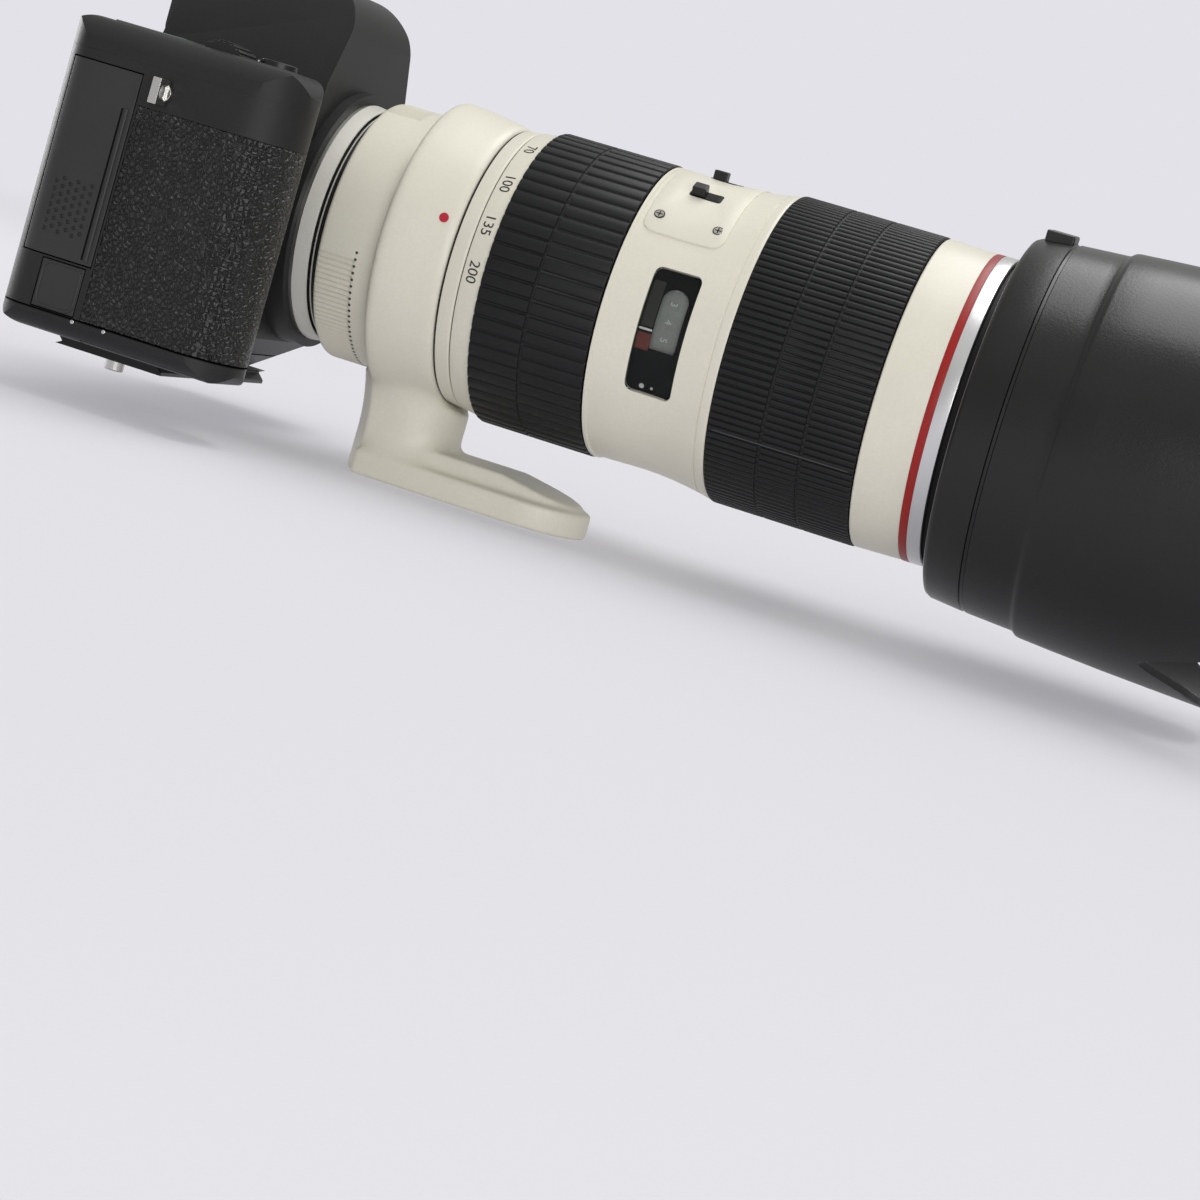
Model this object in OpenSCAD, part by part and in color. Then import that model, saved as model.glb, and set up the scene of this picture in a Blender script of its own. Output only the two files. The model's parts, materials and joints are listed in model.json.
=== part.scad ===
// Single-lens reflex camera with a white tele zoom, its tripod collar and hood.
// Millimetres. +X runs along the optical axis to the front, +Z is up and the
// hand grip is on the -Y side. The origin is the mouth of the smaller tripod
// socket in the underside of the lens foot. Every module is written from the
// lens flange, on the optical axis, and at_flange() puts it in place.

/* [Camera body] */
// Optical axis to the outside of the grip
grip_side = 82; // [81:0.5:84]
// Optical axis to the left side of the body
left_side = 71; // [69:0.5:75]
// Optical axis to the underside of the body
base_drop = 49.5; // [49:0.25:50.5]
// Optical axis to the top deck
deck_h = 36; // [35.5:0.25:37]
// Optical axis to the top of the prism housing
prism_h = 64; // [62:0.5:67]
// Flange to the rear face of the body
body_back = 61; // [60:0.5:63]
// Flange back to the front panel
front_set = 8; // [7:0.5:9]
// Flange to the front of the grip
grip_reach = 8; // [7.5:0.5:10]
// Width of the grip
grip_w = 31; // [30:0.5:33]
// Thickness of the outer casings
wall = 2; // [1.8:0.1:2.2]
// Thickness of the rubber skin let into the grip
skin_t = 1; // [0.8:0.1:1.1]
// Height of the lower casing
base_h = 6; // [5.5:0.25:6.5]

/* [Screens, doors and battery] */
// Width of the rear screen
screen_w = 64; // [60:1:66]
// Height of the rear screen
screen_h = 48; // [44:1:50]
// Length of the card door along the body
card_w = 21; // [19:0.5:22]
// Height of the card door
card_h = 53; // [48:1:54]
// Width of the cord cover
cord_w = 12.6; // [11:0.2:13]
// Height of the cord cover
cord_h = 13; // [12:0.25:13.5]
// Width of the cover over the side sockets
port_w = 22; // [18:1:24]
// Height of the cover over the side sockets
port_h = 44; // [38:1:48]
// Depth of the battery along the body
battery_w = 34; // [32:0.5:36]
// Thickness of the battery
battery_t = 19; // [17:0.5:19.5]
// Height of the battery
battery_l = 54; // [50:0.5:56]

/* [Controls] */
// Radius of the rear control wheel
wheel_r = 17; // [15:0.5:18]
// Radius of the button in the wheel
set_r = 5.8; // [5:0.1:6]
// Radius of the mode dial
mode_r = 11; // [9:0.5:12]
// Radius of the front dial
dial_r = 8; // [7:0.25:8.5]
// Width of the front dial
dial_w = 11.6; // [10:0.2:12]
// Radius of the shutter button
shutter_r = 5; // [4:0.25:5.5]
// Radius of the small push buttons
button_r = 3.4; // [2.8:0.1:3.6]
// Radius of the lens release button
release_r = 6; // [5:0.25:6.5]

/* [Plate under the body] */
// Width of the plate over its dovetail edges
plate_w = 33; // [32:0.5:38]
// Length of the plate across the body
plate_l = 76; // [72:1:80]
// Thickness of the plate
plate_t = 4; // [3.6:0.2:5]

/* [Lens barrel] */
// Flange to the front end of the barrel
lens_l = 199; // [198:0.5:202]
// Radius of the barrel under the tripod collar
journal_r = 37.7; // [37.5:0.1:38.2]
// Outer radius of the tube that the rings turn on
core_r = 36; // [35.7:0.1:36.3]
// Thickness of that tube
core_t = 2; // [1.6:0.1:2.4]
// Outer radius of the rubber on the zoom ring
zoom_r = 42.6; // [42.3:0.1:43.2]
// Outer radius of the rubber on the focus ring
focus_r = 44.4; // [44:0.1:45]
// Thickness of the rubber on both rings
rubber_t = 2; // [1.6:0.1:2.2]
// Length of the zoom ring
zoom_w = 40; // [38:0.5:41]
// Length of the middle barrel
mid_w = 36.7; // [36:0.1:38]
// Length of the focus ring
focus_w = 41.6; // [40:0.2:42]
// Radius of the filter thread
filter_r = 38.5; // [38:0.1:39]

/* [Distance window and switches] */
// Length of the distance window along the barrel
window_w = 13.1; // [12:0.1:14]
// Angle that the window takes of the barrel
window_a = 48; // [44:1:50]
// Length of the switch panel along the barrel
panel_w = 23.6; // [22:0.2:25]
// Angle that the switch panel takes of the barrel
panel_a = 79; // [70:1:82]
// Travel of a lens switch
switch_travel = 4; // [3:0.25:4.5]

/* [Tripod collar and foot] */
// Length of the collar along the barrel
collar_w = 17.7; // [17:0.1:18.5]
// Optical axis to the underside of the foot
axis_h = 66.6; // [65:0.2:70]
// Length of the foot
foot_l = 67.4; // [64:0.2:72]
// Width of the foot
foot_w = 34; // [32:0.5:37]
// Thickness of the foot over its raised back
foot_t = 12.6; // [12:0.2:13.6]
// Width of the neck
neck_w = 30; // [28:0.5:32]
// Flange to the smaller tripod socket in the foot
socket_x = 62; // [60:0.5:64]
// Distance between the two sockets
socket_step = 19; // [18:0.5:20]
// Radius of the smaller socket and of the socket in the body
socket_r = 3.175; // [3.1:0.025:3.3]
// Radius of the larger socket
big_socket_r = 4.7625; // [4.7:0.0125:4.9]
// Depth of both sockets in the foot
socket_d = 8; // [7:0.25:8.5]

/* [Hood] */
// Length of the hood along the barrel
hood_l = 98; // [95:0.5:101]
// Radius of the hood at the tips of its petals
hood_r = 58.2; // [57.8:0.1:59.5]
// Thickness of the hood
hood_t = 2; // [1.7:0.1:2.3]

/* [Clearances] */
// Radial running clearance of everything that turns in a bore
turn_gap = 0.05; // [0.03:0.01:0.08]
// Clearance round push buttons and sliding switches
push_gap = 0.1; // [0.08:0.01:0.14]
// Gap round doors, covers and between the lens rings
door_gap = 0.3; // [0.25:0.01:0.36]
// Gap between the wheel and the button in it
set_gap = 0.9; // [0.7:0.05:0.9]

/* [Hidden] */
$fn = 72;
e = 0.01;               // lets a cut run past a face
turned = [[0, 0, 1, 0], [-1, 0, 0, 0], [0, -1, 0, 0], [0, 0, 0, 1]];

// Body: seams between the casings, and the mount bulge
back_x = -body_back;
front_x = -front_set;
seam_base = base_h - base_drop;
seam_top = deck_h - 9;
seam_rear = back_x + 11;
side_r = 10;            // upright rear corners
grip_r = grip_w / 2;
grip_mid = grip_r - grip_side;
bevel_z = -38;          // upper edge of the bevel under the mount, on the front face
bevel_rise = 1.05;      // its rise for each mm forward
bulge_r = 37.5;
bulge_x = -1.2;         // its front, behind the flange
neck_r = 32;            // hole for the bayonet ring
ring_r = 34.6;
throat_r = 27.2;
tab_r = 25.8;           // tabs of the body bayonet
tab_t = 1.5;
plug_r = tab_r - door_gap;
lug_r = throat_r - door_gap;
tab_a = 56;             // angle of a tab and of a lug
tab_angles = [0, 120, 240];
hump_w = 66;            // prism housing over the deck
hump_back = back_x + 5;
hump_front = -4;
eye_w = 20;             // viewfinder window
eye_low = deck_h + 4;
eye_high = eye_low + 12;

// Mirror box and what is carried behind it
box_back = -42;
box_w = 48;
box_low = -22;
box_high = 20;
mirror_x = -36;         // mirror pivot
mirror_z = 14.5;
shutter_t = 3;
sensor_w = 36.8;
sensor_h = 24.8;

// Doors and covers, each from its rear or lower edge
card_x = back_x + 4.5;
card_z = -29;
cord_x = back_x + 11.6;
cord_z = seam_base + 0.4;
port_x = back_x + 13;
port_z = -32;
skin_x = card_x + card_w + 0.9;
skin_w = 26;
skin_top = 16;
battery_x = grip_reach - 41.5;
battery_y = 5 - grip_side;
door_edge = 1;          // the battery door is this much larger all round

// Controls
shutter_at = [grip_reach - 13.5, grip_mid + 0.5];
dial_x = -20;
dial_z = deck_h - 5;
dial_y = grip_mid + 0.5;
axle_r = 1.5;
cheek_t = 1.6;
mode_at = [-34, left_side - 19];
mode_shaft_r = 5;
button_at = [-15, grip_mid + 16.5];
wheel_at = [30 - grip_side, -12];
wheel_bore_r = set_r + set_gap;
wheel_shaft_r = wheel_bore_r + 1.3;
stick_at = [32 - grip_side, 12];
ball_r = 3.3;
rear_button_y = left_side - 21;
menu_z = 8;
play_z = -8;
release_y = bulge_r + 10.5;
lug_at = [-28, deck_h - 15];

// Plate under the body
plate_x = -35.5;
plate_y = 26 - grip_side;
stud_r = 2.7;
stud_h = 3;
stud_inset = 6;
head_r = 7;
head_h = 2.8;

// Stations along the lens, each from the one before
seal_x = 4.45;
barrel_x = 8;
core_x = 24;
collar_x = 28.6;
index_x = collar_x + collar_w + door_gap;
index_end = index_x + 4.8;
zoom_x = index_end + door_gap;
scale_w = 6.2;
zoom_end = zoom_x + zoom_w;
mid_x = zoom_end + door_gap;
mid_end = mid_x + mid_w;
focus_x = mid_end + door_gap;
focus_end = focus_x + focus_w;
white_x = focus_end + door_gap;
bayonet_r = 42.4;       // front bayonet for the hood
seat_r = 43;            // seat of the two trim rings
trim_r = focus_r - 0.5;
name_end = lens_l - 7.6;
red_x = name_end - 6.4;
red_w = 2.3;
core_end = white_x + 5.1;
thread_l = 8;
glass_r = filter_r - 0.7;
hood_x = lens_l - 5;

// Window, scale drum and switch panel
lens_turn = -3.8;       // direction that the window faces, from -Y
window_x = mid_x + 11.5;
drum_x = mid_x + 7;
drum_w = 22;
drum_r = core_r + 2.5;
pane_low = drum_r + 1.4;
pane_high = pane_low + 1.2;
panel_x = mid_x + 2.6;
panel_low = 40.9;
panel_high = 43.1;
panel_start = 33;
switch_angles = [panel_start + 27, panel_start + 53];
switch_w = 4;
switch_x = panel_x + (panel_w - switch_w - switch_travel) / 2;
screw_r = 1.5;
screw_low = panel_high - 0.7;
screw_angles = [panel_start + 8.7, panel_start + panel_a - 8.7];
screw_xs = [panel_x + 3.2, panel_x + panel_w - 3.4];

// Collar, neck, foot and knob
collar_mid = collar_x + collar_w / 2;
neck_back = collar_x - 1;
foot_back = neck_back;
foot_base_t = 7.5;
foot_top_w = foot_w - 8;
boss_r = 7;
boss_end = 50;
stem_r = 3;
knob_r = 9;
knob_l = 10.7;

off_white = [0.84, 0.82, 0.76];
black = [0.12, 0.12, 0.12];
dark = [0.2, 0.2, 0.21];
grey = [0.45, 0.45, 0.46];
steel = [0.75, 0.75, 0.74];
glass = [0.5, 0.6, 0.65, 0.5];

// ---- Drawing helpers ----
module at_flange() { translate([-socket_x, 0, axis_h]) children(); }
// Revolves pairs of [x, r] about the optical axis.
module lathe(p) { multmatrix(turned) rotate_extrude() polygon([for (q = p) [q[1], q[0]]]); }
// Block between two radii and two angles; 0 is towards -Y and 90 is up.
module sector(x0, x1, r0, r1, a0, a1) {
  multmatrix(turned) rotate([0, 0, -a1]) rotate_extrude(angle = a1 - a0)
    translate([r0, x0]) square([r1 - r0, x1 - x0]);
}
// Turns what is built on the -Y side round the axis.
module around(a) { rotate([-a, 0, 0]) children(); }
module block(a, b) { translate(a) cube([b[0] - a[0], b[1] - a[1], b[2] - a[2]]); }
module rod_x(x0, x1, r) { translate([x0, 0, 0]) rotate([0, 90, 0]) cylinder(r = r, h = x1 - x0); }
module rod_y(y0, y1, r) { translate([0, y1, 0]) rotate([90, 0, 0]) cylinder(r = r, h = y1 - y0); }
module rod_z(z0, z1, r) { translate([0, 0, z0]) cylinder(r = r, h = z1 - z0); }
// Rectangle with its own radius at each corner: lower left, lower right, upper right, upper left.
module rounded(a, b, r) {
  polygon([[a[0] + r[0], a[1]], [b[0] - r[1], a[1]], [b[0], a[1] + r[1]], [b[0], b[1] - r[2]],
    [b[0] - r[2], b[1]], [a[0] + r[3], b[1]], [a[0], b[1] - r[3]], [a[0], a[1] + r[0]]]);
  translate([a[0] + r[0], a[1] + r[0]]) circle(r[0]);
  translate([b[0] - r[1], a[1] + r[1]]) circle(r[1]);
  translate([b[0] - r[2], b[1] - r[2]]) circle(r[2]);
  translate([a[0] + r[3], b[1] - r[3]]) circle(r[3]);
}
module along_y(y0, y1) { translate([0, y1, 0]) rotate([90, 0, 0]) linear_extrude(y1 - y0) children(); }
module along_x(x0, x1) { translate([x0, 0, 0]) rotate([90, 0, 90]) linear_extrude(x1 - x0) children(); }

// ---- Outer shape of the body, drawn in by i on every side ----
module body_plan(i) {
  rounded([back_x + i, -grip_side + i], [front_x - i, left_side - i],
    [side_r - i, side_r - i, side_r + 2 - i, side_r - i]);
  translate([grip_reach - grip_r, grip_mid]) circle(grip_r - i);
  translate([back_x + side_r + wall, -grip_side + i])
    square([body_back - side_r - wall + grip_reach - grip_r, grip_w - 2 * i]);
}
// What the lower front lacks, drawn in by i: a bevel under the mount, from the grip outwards,
// and an oblique cut that leans back towards the far side.
module bevel(i) {
  line_z = bevel_z + 1.45 * i;
  along_y(grip_w - grip_side - i, left_side + 9) polygon([
    [front_x + 20, line_z + 20 * bevel_rise], [front_x - 30, line_z - 30 * bevel_rise],
    [front_x + 20, line_z - 30 * bevel_rise]]);
}
module oblique_cut(i) {
  intersection() {
    translate([front_x - 0.51 * i, 20 - 0.19 * i, bevel_z + 0.84 * i]) rotate([0, 147, 20.7])
      translate([-99, -99, 0]) cube(198);
    block([back_x, -20, -base_drop - 9], [0, left_side + 9, 0]);
  }
}
module trunk(i) {
  intersection() {
    translate([0, 0, -base_drop - 5]) linear_extrude(base_drop + deck_h + 10) body_plan(i);
    along_y(-grip_side - 5, left_side + 5) rounded([back_x + i, -base_drop + i],
      [grip_reach + 0.4 - i, deck_h - i], [8 - i, 6 - i, 9 - i, 6 - i]);
    along_x(back_x - 5, grip_reach + 5) rounded([-grip_side + i, -base_drop + i],
      [left_side - i, deck_h - i], [7 - i, 7 - i, 8 - i, 9 - i]);
  }
}
module body_solid(i) {
  difference() {
    trunk(i);
    bevel(i);
    oblique_cut(i);
  }
  intersection() {
    along_y(-hump_w / 2 - 1, hump_w / 2 + 1) rounded([hump_back + i, box_high],
      [hump_front - i, prism_h - i], [3 - i, 3 - i, 13 - i, 5 - i]);
    along_x(back_x, 0) polygon([
      [i - hump_w / 2, box_high], [hump_w / 2 - i, box_high], [hump_w / 2 - i, deck_h],
      [hump_w / 2 - 10 - i, prism_h - 7], [hump_w / 2 - 16 - i, prism_h - i],
      [16 + i - hump_w / 2, prism_h - i], [10 + i - hump_w / 2, prism_h - 7], [i - hump_w / 2, deck_h]]);
  }
  rod_x(-30, bulge_x - i, bulge_r - i);
}
module shell() { difference() { body_solid(0); body_solid(wall); } }
// Regions of the shell that become separate pieces, grown by g.
module skin_zone(g) {
  block([skin_x - g, -grip_side - 5, seam_base - g],
    [grip_reach + 5, skin_w - grip_side + g, skin_top + g]);
}
module card_zone(g) {
  block([card_x - g, -grip_side - 5, card_z - g],
    [card_x + card_w + g, 9 - grip_side, card_z + card_h + g]);
}
module cord_zone(g) {
  block([cord_x - g, -grip_side - 5, cord_z - g],
    [cord_x + cord_w + g, wall - grip_side + g, cord_z + cord_h + g]);
}
module port_zone(g) {
  block([port_x - g, left_side - wall, port_z - g],
    [port_x + port_w + g, left_side + 2, port_z + port_h + g]);
}
module battery_zone(g) {
  block([battery_x - door_edge - g, battery_y - door_edge - g, -base_drop - 2],
    [battery_x + battery_w + door_edge + g, battery_y + battery_t + door_edge + g, wall - base_drop]);
}
// Passages through the casings, shared by the casings that they cross.
module mount_hole() { rod_x(front_x - wall - 1, 5, neck_r); }
module socket_hole() { translate([plate_x, 0, 0]) rod_z(-base_drop - 1, -base_drop + 6, socket_r); }
module eye_hole() {
  block([hump_back - 1, -eye_w / 2, eye_low], [hump_back + wall + 1, eye_w / 2, eye_high]);
}
module rear_hole(at, r) { translate([0, at[0], at[1]]) rod_x(back_x - 4, back_x + 6, r); }
module top_hole(at, r) { translate([at[0], at[1], 0]) rod_z(deck_h - wall - 9, deck_h + 3, r); }

// ---- Body casings ----
module front_case() color(black) at_flange() difference() {
  intersection() {
    shell();
    block([seam_rear, -grip_side - 9, seam_base], [grip_reach + 9, left_side + 9, seam_top]);
  }
  difference() {
    skin_zone(0);
    body_solid(skin_t);
  }
  card_zone(door_gap);
  cord_zone(door_gap);
  port_zone(door_gap);
  mount_hole();
  translate([0, release_y, 0]) rod_x(front_x - wall - 1, 0, release_r + push_gap);
  for (y = [-grip_side, left_side]) translate([lug_at[0], 0, lug_at[1]]) rod_y(y - 3, y + 3, 2.5);
}
module rear_cover() color(black) at_flange() difference() {
  intersection() {
    shell();
    block([back_x - 9, -grip_side - 9, seam_base], [seam_rear, left_side + 9, seam_top]);
  }
  card_zone(door_gap);
  screen_zone();
  rear_hole(wheel_at, wheel_shaft_r + turn_gap);
  rear_hole(stick_at, ball_r + turn_gap);
  for (z = [menu_z, play_z]) rear_hole([rear_button_y, z], button_r + push_gap);
}
module top_cover() color(black) at_flange() difference() {
  union() {
    intersection() {
      shell();
      block([back_x - 9, -grip_side - 9, seam_top], [grip_reach + 9, left_side + 9, prism_h + 9]);
    }
    for (s = [-1, 1]) translate([dial_x, dial_y + s * (dial_w + 2 * push_gap + cheek_t) / 2, 0])
      block([-3, -cheek_t / 2, dial_z - 4], [3, cheek_t / 2, deck_h - 1]);
  }
  mount_hole();
  eye_hole();
  deck_screen_zone();
  block([dial_x - dial_r - 0.4, dial_y - dial_w / 2 - push_gap, deck_h - wall - 1],
    [dial_x + dial_r + 0.4, dial_y + dial_w / 2 + push_gap, deck_h + 1]);
  translate([dial_x, dial_y, dial_z]) rod_y(-dial_w, dial_w, axle_r + turn_gap);
  top_hole(shutter_at, shutter_r + push_gap);
  top_hole(button_at, button_r + push_gap);
  top_hole(mode_at, mode_shaft_r + turn_gap);
}
module base_cover() color(dark) at_flange() difference() {
  union() {
    intersection() {
      shell();
      block([back_x - 9, -grip_side - 9, -base_drop - 9], [grip_reach + 9, left_side + 9, seam_base]);
    }
    translate([plate_x, 0, 0]) rod_z(-base_drop + 1, -base_drop + 8, socket_r + 4);
  }
  socket_hole();
  battery_zone(door_gap);
}
module grip_rubber() color(black) at_flange() difference() {
  intersection() {
    body_solid(0);
    skin_zone(0);
  }
  body_solid(skin_t);
}
module strap_lugs() color(steel) at_flange()
  for (side = [[-1, -grip_side], [1, left_side]]) translate([lug_at[0], side[1], lug_at[1]])
    scale([1, side[0], 1]) difference() {
      union() {
        rod_y(-wall, 2, 2.5);
        block([-1.2, 1, -3.5], [1.2, 7, 3.5]);
      }
      translate([0, 4.6, 0]) rod_x(-3, 3, 1.6);
    }

// ---- Inside the body ----
module mirror_box() color(dark) at_flange() difference() {
  block([box_back, -box_w / 2, box_low], [-3.4, box_w / 2, box_high]);
  block([box_back - 1, 5 - box_w / 2, box_low + 4], [-6.4, box_w / 2 - 5, box_high - 4]);
  rod_x(-8, -3, throat_r);
  block([-38, 7 - box_w / 2, box_high - 5], [-8, box_w / 2 - 7, box_high + 1]);
}
module mount_ring() color(steel) at_flange() difference() {
  lathe([[-3.4, throat_r], [-tab_t, throat_r], [-tab_t, tab_r], [0, tab_r], [0, ring_r],
    [bulge_x, ring_r], [bulge_x, neck_r], [-3.4, neck_r]]);
  for (a = tab_angles) sector(-2, 1, tab_r - 2, throat_r - 0.2, a + tab_a, a + 120);
}
module shutter_unit() color(dark) at_flange() difference() {
  block([box_back - shutter_t, -box_w / 2, box_low - 18], [box_back, box_w / 2, box_high]);
  block([box_back - 4, -sensor_w / 2, -sensor_h / 2], [box_back - 1.8, sensor_w / 2, sensor_h / 2]);
  block([box_back - 1.2, -sensor_w / 2, -sensor_h / 2], [box_back + 1, sensor_w / 2, sensor_h / 2]);
}
module mirror() color(steel) at_flange() translate([mirror_x, 0, mirror_z]) rotate([0, 45, 0]) {
  block([0, -17.5, -0.6], [28.5, 17.5, 0.6]);
  rod_y(-18.6, 18.6, 0.9);
}
module image_sensor() color(grey) at_flange() {
  block([box_back - 6.4, -26, -20], [box_back - 4.4, 26, 20]);
  block([box_back - 4.4, -sensor_w / 2, -sensor_h / 2], [box_back - shutter_t, sensor_w / 2, sensor_h / 2]);
}
module pentaprism() color(glass) at_flange() along_y(-19, 19)
  polygon([[-10, box_high], [-9, box_high + 16], [-22, box_high + 32], [-40, box_high + 30],
    [-40, box_high]]);
module eyepiece() color(glass) at_flange()
  block([hump_back - 1, -eye_w / 2, eye_low], [hump_back + wall + 1, eye_w / 2, eye_high]);
module eyecup() color(black) at_flange() difference() {
  along_x(hump_back - 8, hump_back) rounded([-15, deck_h + 1], [15, eye_high + 4], [4, 4, 6, 6]);
  along_x(hump_back - 9, hump_back - 1) rounded([-11, eye_low - 1], [11, eye_high + 1], [3, 3, 3, 3]);
  eye_hole();
}
module battery() color(grey) at_flange() block([battery_x, battery_y, 1 + wall - base_drop],
  [battery_x + battery_w, battery_y + battery_t, 1 + wall - base_drop + battery_l]);

// ---- Screens and shoe ----
module screen_zone() {
  block([back_x - 0.4, -28, -34], [back_x + wall, screen_w - 28, screen_h - 34]);
}
module deck_screen_zone() {
  block([-51, 8 - grip_side, deck_h - wall], [-30, 40 - grip_side, deck_h + 0.3]);
}
module rear_screen() color(glass) at_flange() screen_zone();
module top_screen() color(glass) at_flange() deck_screen_zone();
module hot_shoe() color(steel) at_flange() translate([0, 0, prism_h]) {
  block([-48, -11, 0], [-28, 11, 1]);
  for (s = [-1, 1]) {
    translate([0, s * 10.15, 0]) block([-48, -0.85, 1], [-28, 0.85, 4]);
    translate([0, s * 8.3, 0]) block([-48, -1, 3.1], [-28, 1, 4]);
  }
}

// ---- Doors and covers ----
module card_door() color(black) at_flange() intersection() { shell(); card_zone(0); }
module cord_cover() color(black) at_flange() intersection() { shell(); cord_zone(0); }
module port_cover() color(black) at_flange() intersection() { shell(); port_zone(0); }
module battery_door() color(dark) at_flange() difference() {
  intersection() {
    shell();
    battery_zone(0);
  }
  translate([battery_x + battery_w / 2, battery_y + 4, 0])
    block([-5, -1.5, -base_drop - 1], [5, 1.5, 0.8 - base_drop]);
}

// ---- Controls ----
// A push button with the flange that keeps it in the casing.
module button(r, top, low) {
  rod_z(low, top, r);
  rod_z(low - 1, low, r + 0.7);
}
module shutter_button() color(black) at_flange() translate([shutter_at[0], shutter_at[1], deck_h])
  button(shutter_r, 1.5, -wall - 2);
module top_button() color(black) at_flange() translate([button_at[0], button_at[1], deck_h])
  button(button_r, 1.2, -wall - 1);
module push_rear(y, z) { translate([back_x, y, z]) rotate([0, -90, 0]) button(button_r, 1.2, -wall - 1); }
module menu_button() color(black) at_flange() push_rear(rear_button_y, menu_z);
module play_button() color(black) at_flange() push_rear(rear_button_y, play_z);
module set_button() color(black) at_flange() translate([0, wheel_at[0], wheel_at[1]]) {
  rod_x(back_x - 2.8, back_x + 0.6, set_r);
  rod_x(back_x + 0.6, back_x + wall + 1.5, set_r - 2);
}
module lens_release() color(black) at_flange() translate([front_x, release_y, 0]) rotate([0, 90, 0])
  button(release_r, 3.5, -wall - 1);
module joystick() color(black) at_flange() translate([back_x, stick_at[0], stick_at[1]]) {
  translate([wall / 2, 0, 0]) sphere(ball_r);
  rod_x(-3, wall / 2, 2);
  rod_x(-4.4, -2.8, 4);
}
module main_dial() color(black) at_flange() translate([dial_x, dial_y, dial_z]) {
  difference() {
    rod_y(-dial_w / 2, dial_w / 2, dial_r);
    for (k = [0 : 23]) rotate([0, k * 15, 0])
      block([dial_r - 0.5, -dial_w, -0.4], [dial_r + 1, dial_w, 0.4]);
  }
  rod_y(-dial_w / 2 - cheek_t, dial_w / 2 + cheek_t, axle_r);
}
module mode_dial() color(black) at_flange() translate([mode_at[0], mode_at[1], deck_h]) {
  difference() {
    rod_z(0.2, 8.2, mode_r);
    for (k = [0 : 17]) rotate([0, 0, k * 20]) block([mode_r - 0.6, -0.5, 3.5], [mode_r + 2, 0.5, 9]);
  }
  rod_z(-wall - 1, 1, mode_shaft_r);
}
module power_switch() color(black) at_flange() translate([mode_at[0], mode_at[1], deck_h]) difference() {
  union() {
    rod_z(0.2, 2.8, mode_r + 2.5);
    block([0, -1.6, 0.2], [mode_r + 6, 1.6, 2.8]);
  }
  rod_z(-1, 5, mode_r + turn_gap);
}
module rear_wheel() color(black) at_flange() translate([0, wheel_at[0], wheel_at[1]]) difference() {
  union() {
    rod_x(back_x - 2.4, back_x - 0.2, wheel_r);
    rod_x(back_x - 0.2, back_x + wall + 1, wheel_shaft_r);
  }
  rod_x(back_x - 3, back_x + wall + 2, wheel_bore_r);
  for (k = [0 : 23]) rotate([k * 15, 0, 0])
    block([back_x - 3, -0.5, wheel_r - 0.7], [back_x + 1, 0.5, wheel_r + 2]);
}

// ---- Plate screwed under the body ----
module body_plate() color(black) at_flange() translate([plate_x, 0, -base_drop]) difference() {
  edge = [[0, 0], [0, -1], [2, 1 - plate_t], [0, -plate_t]];
  along_y(plate_y, plate_y + plate_l) polygon([for (s = [-1, 1], q = edge)
    let (p = s < 0 ? q : [q[0], -plate_t - q[1]]) [s * (plate_w / 2 - p[0]), p[1]]]);
  rod_z(-plate_t - 1, 1, socket_r + 0.4);
  rod_z(-plate_t - 1, head_h - plate_t, head_r + 0.4);
}
module plate_screw() color(steel) at_flange() translate([plate_x, 0, -base_drop - plate_t]) difference() {
  union() {
    rod_z(0.2, head_h - 0.2, head_r);
    rod_z(1, plate_t + 5, socket_r - turn_gap);
  }
  block([-6, -0.7, -1], [6, 0.7, 1.1]);
}
module plate_studs() color(steel) at_flange()
  for (y = [plate_y + stud_inset, plate_y + plate_l - stud_inset]) translate([plate_x, y, 0])
    rod_z(-base_drop - plate_t - stud_h, -base_drop - plate_t, stud_r);

// ---- Lens, fixed barrel ----
module lens_mount() color(grey) at_flange() {
  lathe([[-5.5, 23], [-5.5, plug_r], [turn_gap, plug_r], [turn_gap, 34.9], [seal_x - 0.3, 34.3],
    [seal_x, 34], [seal_x, 33], [barrel_x, 33], [barrel_x, 23]]);
  for (a = tab_angles)
    sector(-tab_t - door_gap - 1.4, -tab_t - door_gap, plug_r - 0.4, lug_r, a, a + tab_a);
}
module rear_barrel() color(off_white) at_flange() lathe([[barrel_x, 30], [barrel_x, journal_r - 0.7],
  [barrel_x + 0.8, journal_r], [index_x, journal_r], [index_x, journal_r + 2.4],
  [index_end - 0.3, journal_r + 3], [index_end, journal_r + 2.7], [index_end, core_r], [core_x, core_r],
  [core_x, 30]]);
module core_tube() color(dark) at_flange() lathe([[core_x, core_r - core_t], [core_x, core_r],
  [core_end, core_r], [core_end, core_r - core_t]]);
module window_zone(r0, r1) {
  sector(window_x, window_x + window_w, r0, r1, lens_turn - window_a / 2, lens_turn + window_a / 2);
}
module panel_zone(r1) {
  sector(panel_x, panel_x + panel_w, panel_low, r1, panel_start, panel_start + panel_a);
}
module mid_barrel() color(off_white) at_flange() difference() {
  lathe([[mid_x, core_r], [mid_x, 41.6], [mid_x + 0.4, 42], [mid_x + 16, 41.5], [mid_end - 10.7, 42.2],
    [mid_end - 3.1, focus_r - 1], [mid_end - 0.5, focus_r - 0.3], [mid_end, focus_r - 0.7],
    [mid_end, core_r], [mid_end - 4.7, core_r], [mid_end - 4.7, drum_r + 1.1],
    [mid_x + 5, drum_r + 1.1], [mid_x + 5, core_r]]);
  window_zone(drum_r + 0.5, 46);
  panel_zone(46);
}
module window() color(glass) at_flange() window_zone(pane_low, pane_high);
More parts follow.
